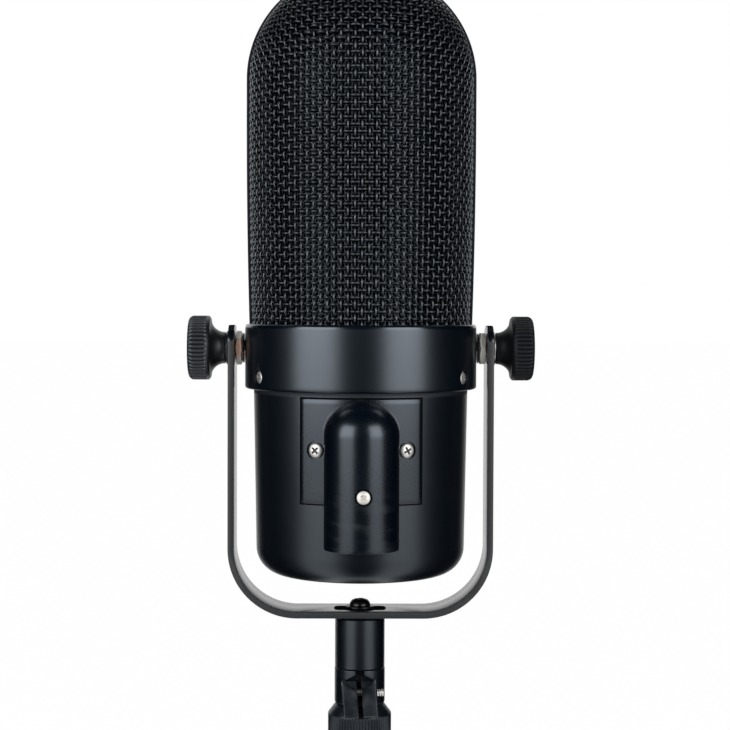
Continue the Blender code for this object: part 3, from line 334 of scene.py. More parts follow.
def metal(name, colour, tarnish, roughness, grain_mm=0.25, depth_mm=0.002, metallic=1.0):
    """Metal with stains of tarnish and a fine grain."""
    finish = Finish(name, metallic=metallic)
    stain = finish.ramp(finish.noise(1.6, 5.0), 0.42, 0.75)
    finish.colour(finish.blend(stain, colour, tarnish))
    finish.roughness(roughness + stain * 0.10 + finish.uneven(0.08, 0.35))
    finish.relief(finish.noise(grain_mm, 3.0), depth_mm)
    return finish.material


def oily_nickel(name, unshaded_from=5.4):
    """Nickel that is bright beyond a distance from the middle and painted dark within it, as painted shade.
    """
    finish = Finish(name, metallic=1.0)
    lighter_part = finish.rise(abs(finish.part("X")), 0.96 * unshaded_from, 1.04 * unshaded_from)
    # Painted shade: the screw's middle, deep in the clamp's slot, is a dark grey.
    finish.colour(finish.blend(lighter_part, (0.16, 0.16, 0.155), NICKEL_COLOUR))
    finish.roughness(0.50 + finish.uneven(0.08, 0.35))
    return finish.material


def warm_nut(name, half_face=2.9, height=131.0):
    """Nickel with copper-coloured front and back flats, painted pale above and below them as a painted
    reflection.
    """
    finish = Finish(name, metallic=0.1)
    lighter_part = finish.rise(abs(finish.part("Z") - height * MM), 0.92 * half_face, 1.08 * half_face)
    stain = finish.ramp(finish.noise(0.8, 4.0), 0.35, 0.70)
    # Painted reflection: above and below the middle the flats are pale, near-white.
    finish.colour(finish.blend(lighter_part + stain * 0.25, COPPER_TONE, (1.0, 0.98, 0.90)))
    finish.roughness(0.42 + finish.uneven(0.08, 0.35))
    return finish.material


# A lit and a shaded copy of one knob plastic: the left knob's reflects more strongly than the right one's.
PLASTIC = moulded("matte_black_plastic", KNOB_BLACK, 0.48, 0.22)
LIT_COPY_PLASTIC = moulded("handled_black_plastic", KNOB_BLACK, 0.42, 0.85)
INSERT_PLASTIC = moulded("insert_plastic", (0.010, 0.010, 0.010), 0.42)
BEAD_HIGHLIGHT_GREY = moulded("bead_paint", (0.10, 0.105, 0.11), 0.40)
SHADE_LINE_SHEET = moulded("black_gasket", (0.0012, 0.0012, 0.0013), 0.85, 0.05)
LEAD_JACKET = moulded("lead_jacket", (0.02, 0.02, 0.02), 0.62)
NICKEL = metal("bright_nickel", NICKEL_COLOUR, (0.70, 0.68, 0.64), 0.50)
# Painted reflection: the right nut is near-white with little metal, standing in for the bright surroundings
# it mirrors.
NICKEL_PAINTED_WHITE = metal("pale_nickel", (1.0, 0.98, 0.92), (0.93, 0.89, 0.80), 0.42, metallic=0.1)
# Partly real nickel and partly painted reflection: nearly half of the lock screw's colour is a pale diffuse
# grey.
LOCK_NICKEL = metal("lock_nickel", (0.86, 0.84, 0.79), (0.62, 0.60, 0.55), 0.45, metallic=0.45)
NUT_NICKEL = warm_nut("nut_nickel")
SLOT_SHADED_NICKEL = oily_nickel("oily_nickel")
BLACK_STEEL = metal("black_oxide_steel", (0.040, 0.041, 0.043), (0.055, 0.052, 0.050), 0.30)
STEEL = metal("plain_steel", (0.46, 0.46, 0.47), (0.36, 0.34, 0.32), 0.34)
MAGNET = metal("ground_magnet", (0.20, 0.20, 0.21), (0.14, 0.13, 0.13), 0.46, 0.6, 0.006)
BRASS = metal("plain_brass", (0.60, 0.45, 0.20), (0.42, 0.28, 0.12), 0.32)
FOIL = metal("ribbon_foil", (0.82, 0.82, 0.83), (0.74, 0.74, 0.75), 0.26)
print("metals and plastics:", len(bpy.data.materials))

# %% [markdown]
# ### Copper winding and fine screen
# A coil is thousands of turns side by side, so its finish is a row of fine ridges along one
# axis, with painted shade darkening the valleys between the turns. The screen behind the grille is a
# much finer mesh: two crossing sets of ridges that follow the cylinder, one by angle and one by
# height, with painted shade in its holes.


# %% Winding and screen finish
def winding(name, pitch_mm=0.5):
    finish = Finish(name, metallic=1.0)
    turns = finish.wave(finish.part("Z") * (math.tau / (pitch_mm * MM))) * 0.5 + 0.5
    # Painted shade: the valleys between the turns are a darker copper.
    finish.colour(finish.blend(turns, (0.30, 0.10, 0.04), (0.62, 0.27, 0.13)))
    finish.roughness(0.30 + finish.uneven(0.1, 1.0))
    finish.relief(turns, 0.12)
    return finish.material


def fine_screen(name, wires_round, pitch_mm):
    """A plain weave of round wires by angle and height, with painted shade in its holes."""
    finish = paint(name, 0.26, 0.30, specular=0.9)
    inputs = {0: finish.part("Y"), 1: finish.part("X")}
    round_phase = finish.graph.add("ShaderNodeMath", {"operation": "ARCTAN2"}, inputs) * float(wires_round)
    rise_phase = finish.part("Z") * (math.tau / (pitch_mm * MM))
    over = finish.wave(round_phase * 0.5) * finish.wave(rise_phase * 0.5) * 0.35
    upright = finish.wave(round_phase) * (over + 1.0)
    level = finish.wave(rise_phase) * (1.0 - over)
    height = upright.math("MAXIMUM", upright, level)
    finish.relief(height, 0.16)
    # Painted shade: the holes between the screen's wires are a flat near-black.
    finish.show(finish.ramp(height, 0.40, 0.60), (0.0004, 0.0004, 0.0005))
    return finish.material


COPPER = winding("copper_winding")
SCREEN = fine_screen("fine_black_screen", 204, 1.12)
print("winding and screen:", COPPER.name, SCREEN.name)

# %% [markdown]
# ## Light
# A black microphone on a white ground shows itself only by what it mirrors. Two tall soft boxes
# stand in front, left and right, and draw the two upright streaks on every round piece. The world
# is white behind the object, and dark cards stand where a photographer puts them: beside, above
# and in front. The cards work in reflections only, so they take no light from the floor.


# %% World
WHITE = (1.0, 1.0, 1.0, 1.0)
FILL_STRENGTH = 0.3
SHARP_RAYS = ("Is Camera Ray", "Is Glossy Ray", "Is Transmission Ray")
world = bpy.data.worlds.new("studio")
scene.world = world
world.use_nodes = True
studio = Graph(world.node_tree)
world.node_tree.nodes.remove(world.node_tree.nodes["Background"])


def seen_or_mirrored(graph):
    """1 for rays that come from the camera, a mirror or clear glass."""
    rays = [graph.add("ShaderNodeLightPath", output=name) for name in SHARP_RAYS]
    return rays[0].math("MAXIMUM", rays[0].math("MAXIMUM", rays[0], rays[1]), rays[2])


fill = studio.add("ShaderNodeBackground", None, {"Color": WHITE, "Strength": FILL_STRENGTH})
white = studio.add("ShaderNodeBackground", None, {"Color": WHITE, "Strength": 1.0})
sky = studio.add("ShaderNodeMixShader", None, {0: seen_or_mirrored(studio), 1: fill, 2: white})
studio.put(world.node_tree.nodes["World Output"].inputs["Surface"], sky)
print("world has", len(world.node_tree.nodes), "nodes")


# %% Floor
def card_of(name, corners, material, faces=None):
    """A flat piece of the studio, one face unless its faces are given."""
    mesh = bpy.data.meshes.new(name)
    mesh.from_pydata(corners, [], faces or [tuple(range(len(corners)))])
    mesh.materials.append(material)
    card = linked(name, mesh)
    return card


FLOOR_HALF = 6.0
floor_finish = Finish("pale_floor", specular=0.0)
floor_finish.colour((0.9, 0.9, 0.9, 1.0))
floor_finish.roughness(0.9)
ground = floor_finish.graph
glow = ground.add("ShaderNodeEmission", None, {"Color": WHITE, "Strength": 1.0})
matte = Link(ground, floor_finish.shader.outputs[0])
lit_floor = ground.add("ShaderNodeMixShader", None, {0: seen_or_mirrored(ground) * 0.99, 1: matte, 2: glow})
ground.put(ground.tree.nodes["Material Output"].inputs["Surface"], lit_floor)
card_of("floor", [(-FLOOR_HALF, -FLOOR_HALF, 0), (FLOOR_HALF, -FLOOR_HALF, 0),
                  (FLOOR_HALF, FLOOR_HALF, 0), (-FLOOR_HALF, FLOOR_HALF, 0)], floor_finish.material)
print("floor:", 2 * FLOOR_HALF, "m across")

# %% Soft boxes
BOX_DISTANCE = 0.5
BOX_HEIGHT = 0.365
BOX_FOOT = 0.085
BOX_WATTS_PER_METRE = 4.75
for name, degrees, width in (("left", -44, 0.385), ("right", 41.5, 0.335)):
    lamp = bpy.data.lights.new(f"soft_box_{name}", "AREA")
    lamp.shape = "RECTANGLE"
    lamp.size = width
    lamp.size_y = BOX_HEIGHT
    lamp.energy = BOX_WATTS_PER_METRE * width
    turn = math.radians(degrees)
    box = linked(lamp.name, lamp)
    box.location = (BOX_DISTANCE * math.sin(turn), -BOX_DISTANCE * math.cos(turn), BOX_FOOT + BOX_HEIGHT / 2)
    box.rotation_euler = (math.pi / 2, 0.0, turn)
    box.visible_camera = False
    print("soft box", name, "at", degrees, "degrees")

# %% Dark cards
CARD_DISTANCE = 1.6
CARD_TOP = 1.7
CARD_NEAR = 0.026
CARD_LIFT = 0.0005
CARD_ENDS = (-140, 150)
BOX_EDGES = (23, 64)
ROOF_HALF = 2.0
ROOF_BACK = 0.55
card_finish = Finish("dark_card", specular=0.0)
card_finish.colour((0.0, 0.0, 0.0, 1.0))
DARK_CARD = card_finish.material


def arc(reach, height, start, end, steps):
    """Points round the stand between two angles from the camera's side."""
    angles = [math.radians(start + (end - start) * step / steps) for step in range(steps + 1)]
    return [(reach * math.sin(a), -reach * math.cos(a), height) for a in angles]


def dark_wall(name, start, end, steps=40):
    """A curved card that stands between two angles."""
    points = arc(CARD_DISTANCE, 0.0, start, end, steps) + arc(CARD_DISTANCE, CARD_TOP, start, end, steps)
    faces = [(i, i + 1, i + steps + 2, i + steps + 1) for i in range(steps)]
    return card_of(name, points, DARK_CARD, faces)


def dark_floor(name, start, end, steps=16):
    """A card on the floor between two angles, open round the stand."""
    near = arc(CARD_NEAR, CARD_LIFT, start, end, steps)
    far = arc(CARD_DISTANCE, CARD_LIFT, start, end, steps)
    return card_of(name, [*near, *reversed(far)], DARK_CARD)


roof_corners = [(-ROOF_HALF, -ROOF_HALF, CARD_TOP), (ROOF_HALF, -ROOF_HALF, CARD_TOP),
                (ROOF_HALF, ROOF_BACK, CARD_TOP), (-ROOF_HALF, ROOF_BACK, CARD_TOP)]
for card in (card_of("dark_card_top", roof_corners, DARK_CARD),
             dark_floor("dark_card_low", -BOX_EDGES[0], BOX_EDGES[0]),
             dark_floor("dark_card_low_left", CARD_ENDS[0], -BOX_EDGES[1]),
             dark_floor("dark_card_low_right", BOX_EDGES[1], CARD_ENDS[1]),
             dark_wall("dark_card_front", *CARD_ENDS)):
    card.visible_camera = False
    card.visible_diffuse = False
    card.visible_shadow = False
    card.visible_transmission = False
print("dark cards stand", CARD_DISTANCE, "m away")

# %% [markdown]
# ## Tools for turned pieces
# Most of this microphone was turned on a lathe, so most of its pieces are one profile spun round
# an axis. `soften` rounds the corners of a profile, because no real edge is perfectly sharp and a
# small radius is what catches the light. `lathe` spins it, and `ripple` lets the radius change
# with the angle, which gives knurls and threads from the same tool. All of them take millimetres.


# %% Profiles
def soften(corners, steps=5, closed=False):
    """Turn (radius, height, fillet) corners into points, with an arc at every fillet."""
    points = []
    count = len(corners)
    for index, (radius, height, fillet) in enumerate(corners):
        here = Vector((radius, height))
        if fillet <= 0.0 or (not closed and index in (0, count - 1)):
            points.append(here)
            continue
        before = Vector(corners[index - 1][:2]) - here
        after = Vector(corners[(index + 1) % count][:2]) - here
        angle = before.angle(after)
        reach = min(fillet / math.tan(angle / 2), 0.49 * before.length, 0.49 * after.length)
        size = reach * math.tan(angle / 2)
        middle = (before.normalized() + after.normalized()).normalized()
        centre = here + middle * (size / math.sin(angle / 2))
        start = here + before.normalized() * reach - centre
        turn = start.angle_signed(here + after.normalized() * reach - centre)
        points += [centre + Matrix.Rotation(-turn * step / steps, 2) @ start for step in range(steps + 1)]
    return [tuple(point) for point in points]


def quarter(steps):
    """The cosine and sine of angles from 0 to a right angle."""
    return [(math.cos(a), math.sin(a)) for a in np.linspace(0.0, math.pi / 2, steps + 1)]


def flat_ring(inner, outer, low, high, fillet=0.15):
    """The section of a washer."""
    corners = [(inner, low, 0.1), (outer, low, fillet), (outer, high, fillet), (inner, high, 0.1)]
    return soften(corners, closed=True, steps=3)


def progress(value, low, high):
    """How far a value has come from low to high, from 0 to 1."""
    return min(1.0, max(0.0, (value - low) / (high - low)))


def lathe(points, steps, ripple=None):
    """Spin a profile round Z. A profile that starts off the axis is a closed ring."""
    shape = bmesh.new()
    rings = []
    for radius, height in points:
        if radius < 1e-4:
            rings.append([shape.verts.new((0.0, 0.0, height * MM))])
            continue
        ring = []
        for step in range(steps):
            angle = math.tau * step / steps
            reach = (radius + (ripple(angle, radius, height) if ripple else 0.0)) * MM
            ring.append(shape.verts.new((reach * math.cos(angle), reach * math.sin(angle), height * MM)))
        rings.append(ring)
    pairs = list(zip(rings, rings[1:]))
    if len(rings[0]) > 1:
        pairs.append((rings[-1], rings[0]))
    for lower, upper in pairs:
        for step in range(steps):
            after = (step + 1) % steps
            corners = [lower[step % len(lower)], lower[after % len(lower)],
                       upper[after % len(upper)], upper[step % len(upper)]]
            shape.faces.new(list(dict.fromkeys(corners)))
    bmesh.ops.recalc_face_normals(shape, faces=shape.faces)
    return shape


def moved(shape, matrix):
    bmesh.ops.transform(shape, matrix=matrix, verts=shape.verts)
    return shape


def turned(degrees, axis):
    return Matrix.Rotation(math.radians(degrees), 4, axis)


def facing(at, direction):
    """The frame at a point whose +Z looks along a direction."""
    turn = Vector(direction).to_track_quat("Z", "Y").to_matrix().to_4x4()
    return Matrix.Translation(Vector(at) * MM) @ turn


def rod(radius, start, end, steps=48):
    """A plain cylinder between two points, used as a cutter."""
    start, end = Vector(start), Vector(end)
    shape = bmesh.new()
    bmesh.ops.create_cone(shape, cap_ends=True, segments=steps, radius1=radius * MM, radius2=radius * MM,
                          depth=(end - start).length * MM, matrix=facing((start + end) / 2, end - start))
    return shape


def prism(outline, axis, low, high):
    """Extrude a flat outline along X, Y or Z."""
    spot = "XYZ".index(axis)
    along = Vector((0.0, 0.0, 0.0))
    along[spot] = (high - low) * MM
    shape = bmesh.new()
    corners = [Vector([*pair[:spot], low, *pair[spot:]]) * MM for pair in outline]
    face = shape.faces.new([shape.verts.new(corner) for corner in corners])
    grown = bmesh.ops.extrude_face_region(shape, geom=[face])["geom"]
    ends = [part for part in grown if isinstance(part, bmesh.types.BMVert)]
    bmesh.ops.translate(shape, vec=along, verts=ends)
    bmesh.ops.recalc_face_normals(shape, faces=shape.faces)
    return shape


def skin(shape, rows):
    """Faces between rows of points."""
    for lower, upper in zip(rows, rows[1:]):
        for i in range(len(lower) - 1):
            shape.faces.new((lower[i], lower[i + 1], upper[i + 1], upper[i]))


def round_edges(shape, width, sharper_than=50, segments=3):
    """Round every edge that is sharper than an angle."""
    limit = math.radians(sharper_than)
    edges = [edge for edge in shape.edges if len(edge.link_faces) == 2 and edge.calc_face_angle() > limit]
    bmesh.ops.bevel(shape, geom=edges, offset=width * MM, segments=segments, profile=0.5,
                    affect="EDGES", clamp_overlap=True)
    return shape


print("a washer's section has", len(flat_ring(1, 2, 0, 1)), "points")

# %% [markdown]
# ## From shape to piece
# A piece is a mesh with a finish that rides on one of the frame's bodies and stands for one or
# more of its nodes. Cuts use the exact Boolean and are settled at once, so a finished piece is a
# plain mesh with no modifiers. Faces that meet at less than a small angle are shaded smoothly.

# %% Pieces
SMOOTH_BELOW = math.radians(34)


def raw(name, shape):
    """An object of a shape, at the origin."""
    mesh = bpy.data.meshes.new(name)
    shape.to_mesh(mesh)
    shape.free()
    return linked(name, mesh)


def settle(piece):
    """Replace a piece's mesh with what its modifiers make of it."""
    bpy.context.view_layer.update()
    graph = bpy.context.evaluated_depsgraph_get()
    result = bpy.data.meshes.new_from_object(piece.evaluated_get(graph))
    piece.modifiers.clear()
    piece.data = result
    return piece


def carve(piece, shape, operation="DIFFERENCE"):
    """Cut, join or trim a piece with a shape."""
    tool = raw("carving_tool", shape)
    modifier = piece.modifiers.new("carve", "BOOLEAN")
    modifier.object = tool
    modifier.operation = operation
    modifier.solver = "EXACT"
    settle(piece)
    bpy.data.objects.remove(tool)
    assert piece.data.polygons, f"nothing left of {piece.name}"
    return piece


def dress(piece, finish, body, slot, *nodes, smooth_below=SMOOTH_BELOW):
    """Give a piece its finish, its body and the nodes that it stands for. The slot is not used."""
    piece.data.materials.clear()
    piece.data.materials.append(finish)
    piece.data.shade_smooth()
    piece.data.set_sharp_from_angle(angle=smooth_below)
    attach(piece, body)
    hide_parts(*nodes)
    triangles = sum(len(face.vertices) - 2 for face in piece.data.polygons)
    print(f"{piece.name}: {triangles} triangles on {body}")
    return piece


print("smooth below", round(math.degrees(SMOOTH_BELOW)), "degrees")

# %% [markdown]
# ## Trees for what repeats
# Screws, spacers and pins repeat, so one Geometry Nodes tree puts a template on points. Each point
# carries the direction it faces, a spin about that direction and a size. A second tree draws lines
# as round wire. Both end by realizing what they made and setting the finish, and the result becomes
# a plain mesh.


# %% Template on points
def start_tree(name, inputs):
    """A tree with a geometry and other inputs: its graph, their links and their names as settings."""
    tree = bpy.data.node_groups.new(name, "GeometryNodeTree")
    kinds = {"Geometry": "NodeSocketGeometry", **inputs, "Finish": "NodeSocketMaterial"}
    names = {}
    for label, kind in kinds.items():
        names[label] = tree.interface.new_socket(label, in_out="INPUT", socket_type=kind).identifier
    tree.interface.new_socket("Geometry", in_out="OUTPUT", socket_type="NodeSocketGeometry")
    nodes = Graph(tree)
    return nodes, [nodes.add("NodeGroupInput", output=label) for label in kinds], names


def end_tree(nodes, geometry, finish):
    real = nodes.add("GeometryNodeRealizeInstances", None, {0: geometry})
    painted = nodes.add("GeometryNodeSetMaterial", None, {"Geometry": real, "Material": finish})
    nodes.add("NodeGroupOutput", None, {0: painted})


def template_tree():
    inputs = {"Template": "NodeSocketObject"}
    nodes, (points, template, finish), names = start_tree("template_on_points", inputs)
    carried = {}
    for name, kind in (("facing", "FLOAT_VECTOR"), ("spin", "FLOAT"), ("size", "FLOAT")):
        carried[name] = nodes.add("GeometryNodeInputNamedAttribute", {"data_type": kind}, {"Name": name})
    aim = nodes.add("FunctionNodeAlignRotationToVector", {"axis": "Z"}, {"Vector": carried["facing"]})
    twist = nodes.add("FunctionNodeAxisAngleToRotation", None, {"Axis": (0, 0, 1), "Angle": carried["spin"]})
    turn = nodes.add("FunctionNodeRotateRotation", {"rotation_space": "LOCAL"}, {0: aim, 1: twist})
    shape = nodes.add("GeometryNodeObjectInfo", None, {"Object": template}, output="Geometry")
    inputs = {"Points": points, "Instance": shape, "Rotation": turn, "Scale": carried["size"]}
    end_tree(nodes, nodes.add("GeometryNodeInstanceOnPoints", None, inputs), finish)
    return nodes.tree, names


def grown(name, points, pairs, marks, tree, settings):
    """A piece that a tree makes from points in millimetres, their pairs and the marks they carry."""
    mesh = bpy.data.meshes.new(name)
    mesh.from_pydata([Vector(point) * MM for point in points], pairs, [])
    for label, values in marks.items():
        kind, key = ("FLOAT_VECTOR", "vector") if len(values) > len(points) else ("FLOAT", "value")
        mesh.attributes.new(label, kind, "POINT").data.foreach_set(key, values)
    piece = linked(name, mesh)
    modifier = piece.modifiers.new("grow", "NODES")
    modifier.node_group, names = tree
    for label, value in settings.items():
        modifier[names[label]] = value
    return settle(piece)


TEMPLATE_TREE = template_tree()


def repeat(name, template, places, finish):
    """Put a template on places, each (point, direction, spin in degrees, size), and remove it."""
    points, directions, spins, sizes = zip(*places)
    marks = {"facing": [value for direction in directions for value in direction],
             "spin": [math.radians(spin) for spin in spins], "size": sizes}
    piece = grown(name, points, [], marks, TEMPLATE_TREE, {"Template": template, "Finish": finish})
    bpy.data.objects.remove(template)
    return piece


print("template tree:", len(TEMPLATE_TREE[0].nodes), "nodes")

# %% [markdown]
# ## Woven grille
# The grille is plain-weave wire: upright and level wires pass over and under each other every
# 2.2 mm. Crimped wire runs flat over a crossing and dives between two, and with painted shade where
# it dives this makes the short bright dashes. The side is a cylinder that swells a little. The dome
# was pressed from the same flat sheet, so its wires keep their spacing and lean instead: from the
# front's middle line and the dome's foot, every new crossing lies one pitch from its two neighbours.
# That is a fisherman's net laid on a ball, and it gives the slanted wires on the shoulders. The back
# half mirrors the front, and a seam wire covers the joint.

# %% Net of crossings
WIRE_R = 0.34
CRIMP = 0.5
WIRES_ROUND = 102
GRILLE_FOOT_Z = 138.0
GRILLE_BASE_R = 36.1
GRILLE_MAX_R = 37.1
GRILLE_BULGE_Z = 205.0
DOME_Z = 217.8
DOME_H = 36.0
HOOP_PROUD = 0.70
WEAVE_OUT = 2 * WIRE_R + HOOP_PROUD
NET_R = GRILLE_MAX_R - WEAVE_OUT
NET_H = DOME_H - WEAVE_OUT
PITCH = 2 * NET_R * math.sin(math.pi / WIRES_ROUND)
HIDDEN_FOOT_Z = 135.0
SIDE_ROWS = int((DOME_Z - HIDDEN_FOOT_Z) / PITCH)
HALF_WIRES = WIRES_ROUND // 4


def grille_radius(height):
    """Outer radius of the grille's side."""
    below = max(0.0, GRILLE_BULGE_Z - height) / (GRILLE_BULGE_Z - GRILLE_FOOT_Z)
    return GRILLE_MAX_R - (GRILLE_MAX_R - GRILLE_BASE_R) * below ** 2


def side_radius(height):
    """Radius of the weave's middle on the side."""
    return grille_radius(height) - WEAVE_OUT


def side_crossing(wire, row):
    """A crossing on the side: wire 0 is in the middle of the front, row 0 at the dome's foot."""
    height = DOME_Z + row * PITCH
    angle = math.tau * wire / WIRES_ROUND
    radius = side_radius(height)
    return np.array((radius * math.sin(angle), -radius * math.cos(angle), height))


DOME_AXES = np.array((NET_R, NET_R, NET_H))
DOME_CENTRE = np.array((0.0, 0.0, DOME_Z))


def next_crossing(start, first, second):
    """The point on the dome one pitch from two crossings, away from a third."""
    point = first + second - start
    for _ in range(8):
        local = (point - DOME_CENTRE) / DOME_AXES
        miss = np.array((local @ local - 1.0, (point - first) @ (point - first) - PITCH ** 2,
                         (point - second) @ (point - second) - PITCH ** 2))
        slope = np.array((2 * local / DOME_AXES, 2 * (point - first), 2 * (point - second)))
        point = point - np.linalg.solve(slope, miss)
    return point


def middle_line():
    """Crossings up the front's middle line, one pitch apart along the dome."""
    points = [side_crossing(0, 0)]
    angle = 0.0
    while angle < math.pi / 2 + 0.1:
        low, high = angle, angle + 2 * PITCH / NET_R
        for _ in range(40):
            angle = (low + high) / 2
            point = np.array((0.0, -NET_R * math.cos(angle), DOME_Z + NET_H * math.sin(angle)))
            if np.linalg.norm(point - points[-1]) < PITCH:
                low = angle
            else:
                high = angle
        points.append(point)
    return points


net = {(0, row): point for row, point in enumerate(middle_line())}
DOME_ROWS = len(net) - 1
for wire in range(1, HALF_WIRES + 1):
    net[wire, 0] = side_crossing(wire, 0)
    for row in range(1, DOME_ROWS + 1):
        corner = [net.get(key) for key in ((wire - 1, row - 1), (wire, row - 1), (wire - 1, row))]
        if any(point is None or point[1] > 2 * PITCH for point in corner):
            break
        net[wire, row] = next_crossing(*corner)
for wire in range(HALF_WIRES + 1):
    for row in range(-SIDE_ROWS, 0):
        net[wire, row] = side_crossing(wire, row)
for (wire, row), point in list(net.items()):
    net[-wire, row] = point * np.array((-1, 1, 1))
print("crossings in the front half:", len(net), "pitch", round(PITCH, 3), "mm")


# %% Wires over and under
SPAN_STEPS = 4


def outward(point):
    """The direction out of the weave at a point."""
    if point[2] > DOME_Z:
        normal = (point - DOME_CENTRE) / DOME_AXES ** 2
    else:
        normal = np.array((point[0], point[1], 0.0))
    return normal / np.linalg.norm(normal)


def lift(share):
    """Height of a crimped wire between two crossings, from 1 through 0 to -1."""
    wave = math.cos(math.pi * share)
    return math.copysign(abs(wave) ** CRIMP, wave)


def wire_line(keys, over):
    """Points along one wire of the front half, which weaves over and under and stops at the seam."""
    points = []
    for (first, second) in zip(keys, keys[1:]):
        start, end = net[first], net[second]
        sign = over * (-1) ** (first[0] + first[1])
        for step in range(SPAN_STEPS):
            share = step / SPAN_STEPS
            point = start + (end - start) * share
            if point[1] > 0:
                return points
            if end[1] > 0 and start[1] + (end[1] - start[1]) * (step + 1) / SPAN_STEPS > 0:
                cut = start[1] / (start[1] - end[1])
                points.append(point + outward(point) * WIRE_R * sign * lift(share))
                points.append(start + (end - start) * cut)
                return points
            points.append(point + outward(point) * WIRE_R * sign * lift(share))
    last = net[keys[-1]]
    points.append(last + outward(last) * WIRE_R * over * (-1) ** (keys[-1][0] + keys[-1][1]))
    return points


def to_seam(points, row):
    """Carry a level wire of the side half a pitch further, to the seam on both ends."""
    height = DOME_Z + row * PITCH
    reach = side_radius(height)
    return [(-reach, 0.0, height), *points, (reach, 0.0, height)]


uprights = []
for wire in range(-HALF_WIRES, HALF_WIRES + 1):
    rows = sorted(row for (column, row) in net if column == wire)
    uprights.append(wire_line([(wire, row) for row in rows], 1))
levels = []
for row in range(-SIDE_ROWS, DOME_ROWS + 1):
    columns = sorted(column for (column, key_row) in net if key_row == row and column >= 0)
    right = wire_line([(column, row) for column in columns], -1) if len(columns) > 1 else []
    if not right:
        continue
    left = [point * np.array((-1, 1, 1)) for point in reversed(right[1:])]
    whole = left + right
    levels.append(to_seam(whole, row) if row <= 0 else whole)
print("wires in the front half:", len(uprights), "upright,", len(levels), "level")


# %% Tree that turns lines into wire
WIRE_SIDES = 6


def wire_tree():
    inputs = {"Wire radius": "NodeSocketFloat", "Sides": "NodeSocketInt"}
    nodes, (lines, radius, sides, finish), names = start_tree("wire_from_lines", inputs)
    path = nodes.add("GeometryNodeMeshToCurve", None, {"Mesh": lines})
    section = nodes.add("GeometryNodeCurvePrimitiveCircle", None, {"Resolution": sides, "Radius": radius})
    inputs = {"Curve": path, "Profile Curve": section, "Fill Caps": True}
    end_tree(nodes, nodes.add("GeometryNodeCurveToMesh", None, inputs), finish)
    return nodes.tree, names


WIRE_TREE = wire_tree()


def weave_lift(point):
    """Where a point lies in the weave, from 0 for under to 1 for over."""
    if point[2] > DOME_Z:
        above = (np.linalg.norm((np.array(point) - DOME_CENTRE) / DOME_AXES) - 1.0) * NET_R
    else:
        above = math.hypot(point[0], point[1]) - side_radius(point[2])
    return progress(above, -WIRE_R, WIRE_R)


def wires(name, lines, radius, sides, finish):
    """Draw lines of points as round wire."""
    points = [point for line in lines for point in line]
    pairs = []
    for line in lines:
        start = pairs[-1][1] + 1 if pairs else 0
        pairs += [(index, index + 1) for index in range(start, start + len(line) - 1)]
    # The lift mark tells the wire paint where to show its painted shade.
    marks = {"lift": [weave_lift(point) for point in points]}
    settings = {"Wire radius": radius * MM, "Sides": sides, "Finish": finish}
    return grown(name, points, pairs, marks, WIRE_TREE, settings)


def behind(lines):
    return [[np.array(point) * np.array((1, -1, 1)) for point in line] for line in lines]


for name, lines, finish in (("uprights", uprights, WIRE_PAINT), ("levels", levels, LEVEL_PAINT)):
    for half, half_lines in (("front", lines), ("back", behind(lines))):
        woven = wires(f"grille_{name}_{half}", half_lines, WIRE_R, WIRE_SIDES, finish)
        dress(woven, finish, "head", "black_mesh", "outer_grille", smooth_below=math.pi)

# %% [markdown]
# ### Hoop, hem and inner screen
# The two halves are soldered to a smooth hoop that runs from collar to collar over the top, and it
# gives the grille its clean dark outline. A narrow hem holds the wires' lower ends. A finer screen
# stands behind the weave and makes it dark. It is a plain spun shell with a woven finish and painted
# shade in its holes, because its own wires are too fine to be worth their faces.

# %% Hoop and hem
HOOP_T = 1.9
HOOP_HALF_W = 1.4
HEM_CORNERS = [(35.2, 136.6, 0.0), (36.15, 136.6, 0.1), (36.15, 138.9, 0.25), (35.5, 138.9, 0.1),
               (35.2, 138.2, 0.0)]


def hoop_line(inset):
    """Points from one foot of the hoop over the dome to the other."""
    right = [(grille_radius(z) - inset, z) for z in np.linspace(HIDDEN_FOOT_Z, DOME_Z, 20)]
    over = [((GRILLE_MAX_R - inset) * math.cos(a), DOME_Z + (DOME_H - inset) * math.sin(a))
            for a in np.linspace(0.0, math.pi, 80)[1:-1]]
    return right + over + [(-x, z) for x, z in reversed(right)]


hoop_outline = hoop_line(0.0) + hoop_line(HOOP_T)[::-1]
hoop = raw("grille_hoop", round_edges(prism(hoop_outline, "Y", -HOOP_HALF_W, HOOP_HALF_W), 0.35))
dress(hoop, HOOP_PAINT, "head", "black_mesh", "outer_grille")
hem = raw("grille_hem", lathe(soften(HEM_CORNERS, closed=True, steps=3), 160))
dress(hem, HOOP_PAINT, "head", "black_mesh", "outer_grille")

# %% Inner screen
SCREEN_INSET = 0.95
SCREEN_T = 0.3
SCREEN_FOOT_Z = 138.25


def screen_wall(inset):
    """The screen's section from its foot to the top, inside the weave's middle."""
    wall = [(side_radius(z) - inset, z) for z in np.linspace(SCREEN_FOOT_Z, DOME_Z, 24)]
    return wall + [((NET_R - inset) * c, DOME_Z + (NET_H - inset) * s) for c, s in quarter(31)[1:]]


screen_profile = [*reversed(screen_wall(SCREEN_INSET)), *screen_wall(SCREEN_INSET + SCREEN_T)]
dress(raw("grille_screen", lathe(screen_profile, 128)), SCREEN, "head", "black_screen", "inner_screen")

# %% [markdown]
# ## Collar and lower housing
# The collar is one turned ring with rounded edges and an eased crown. Three screws sit in shallow
# round recesses, so those are cut before the finish goes on. The housing is a spun can with a
# slight taper and a generous round at the bottom.

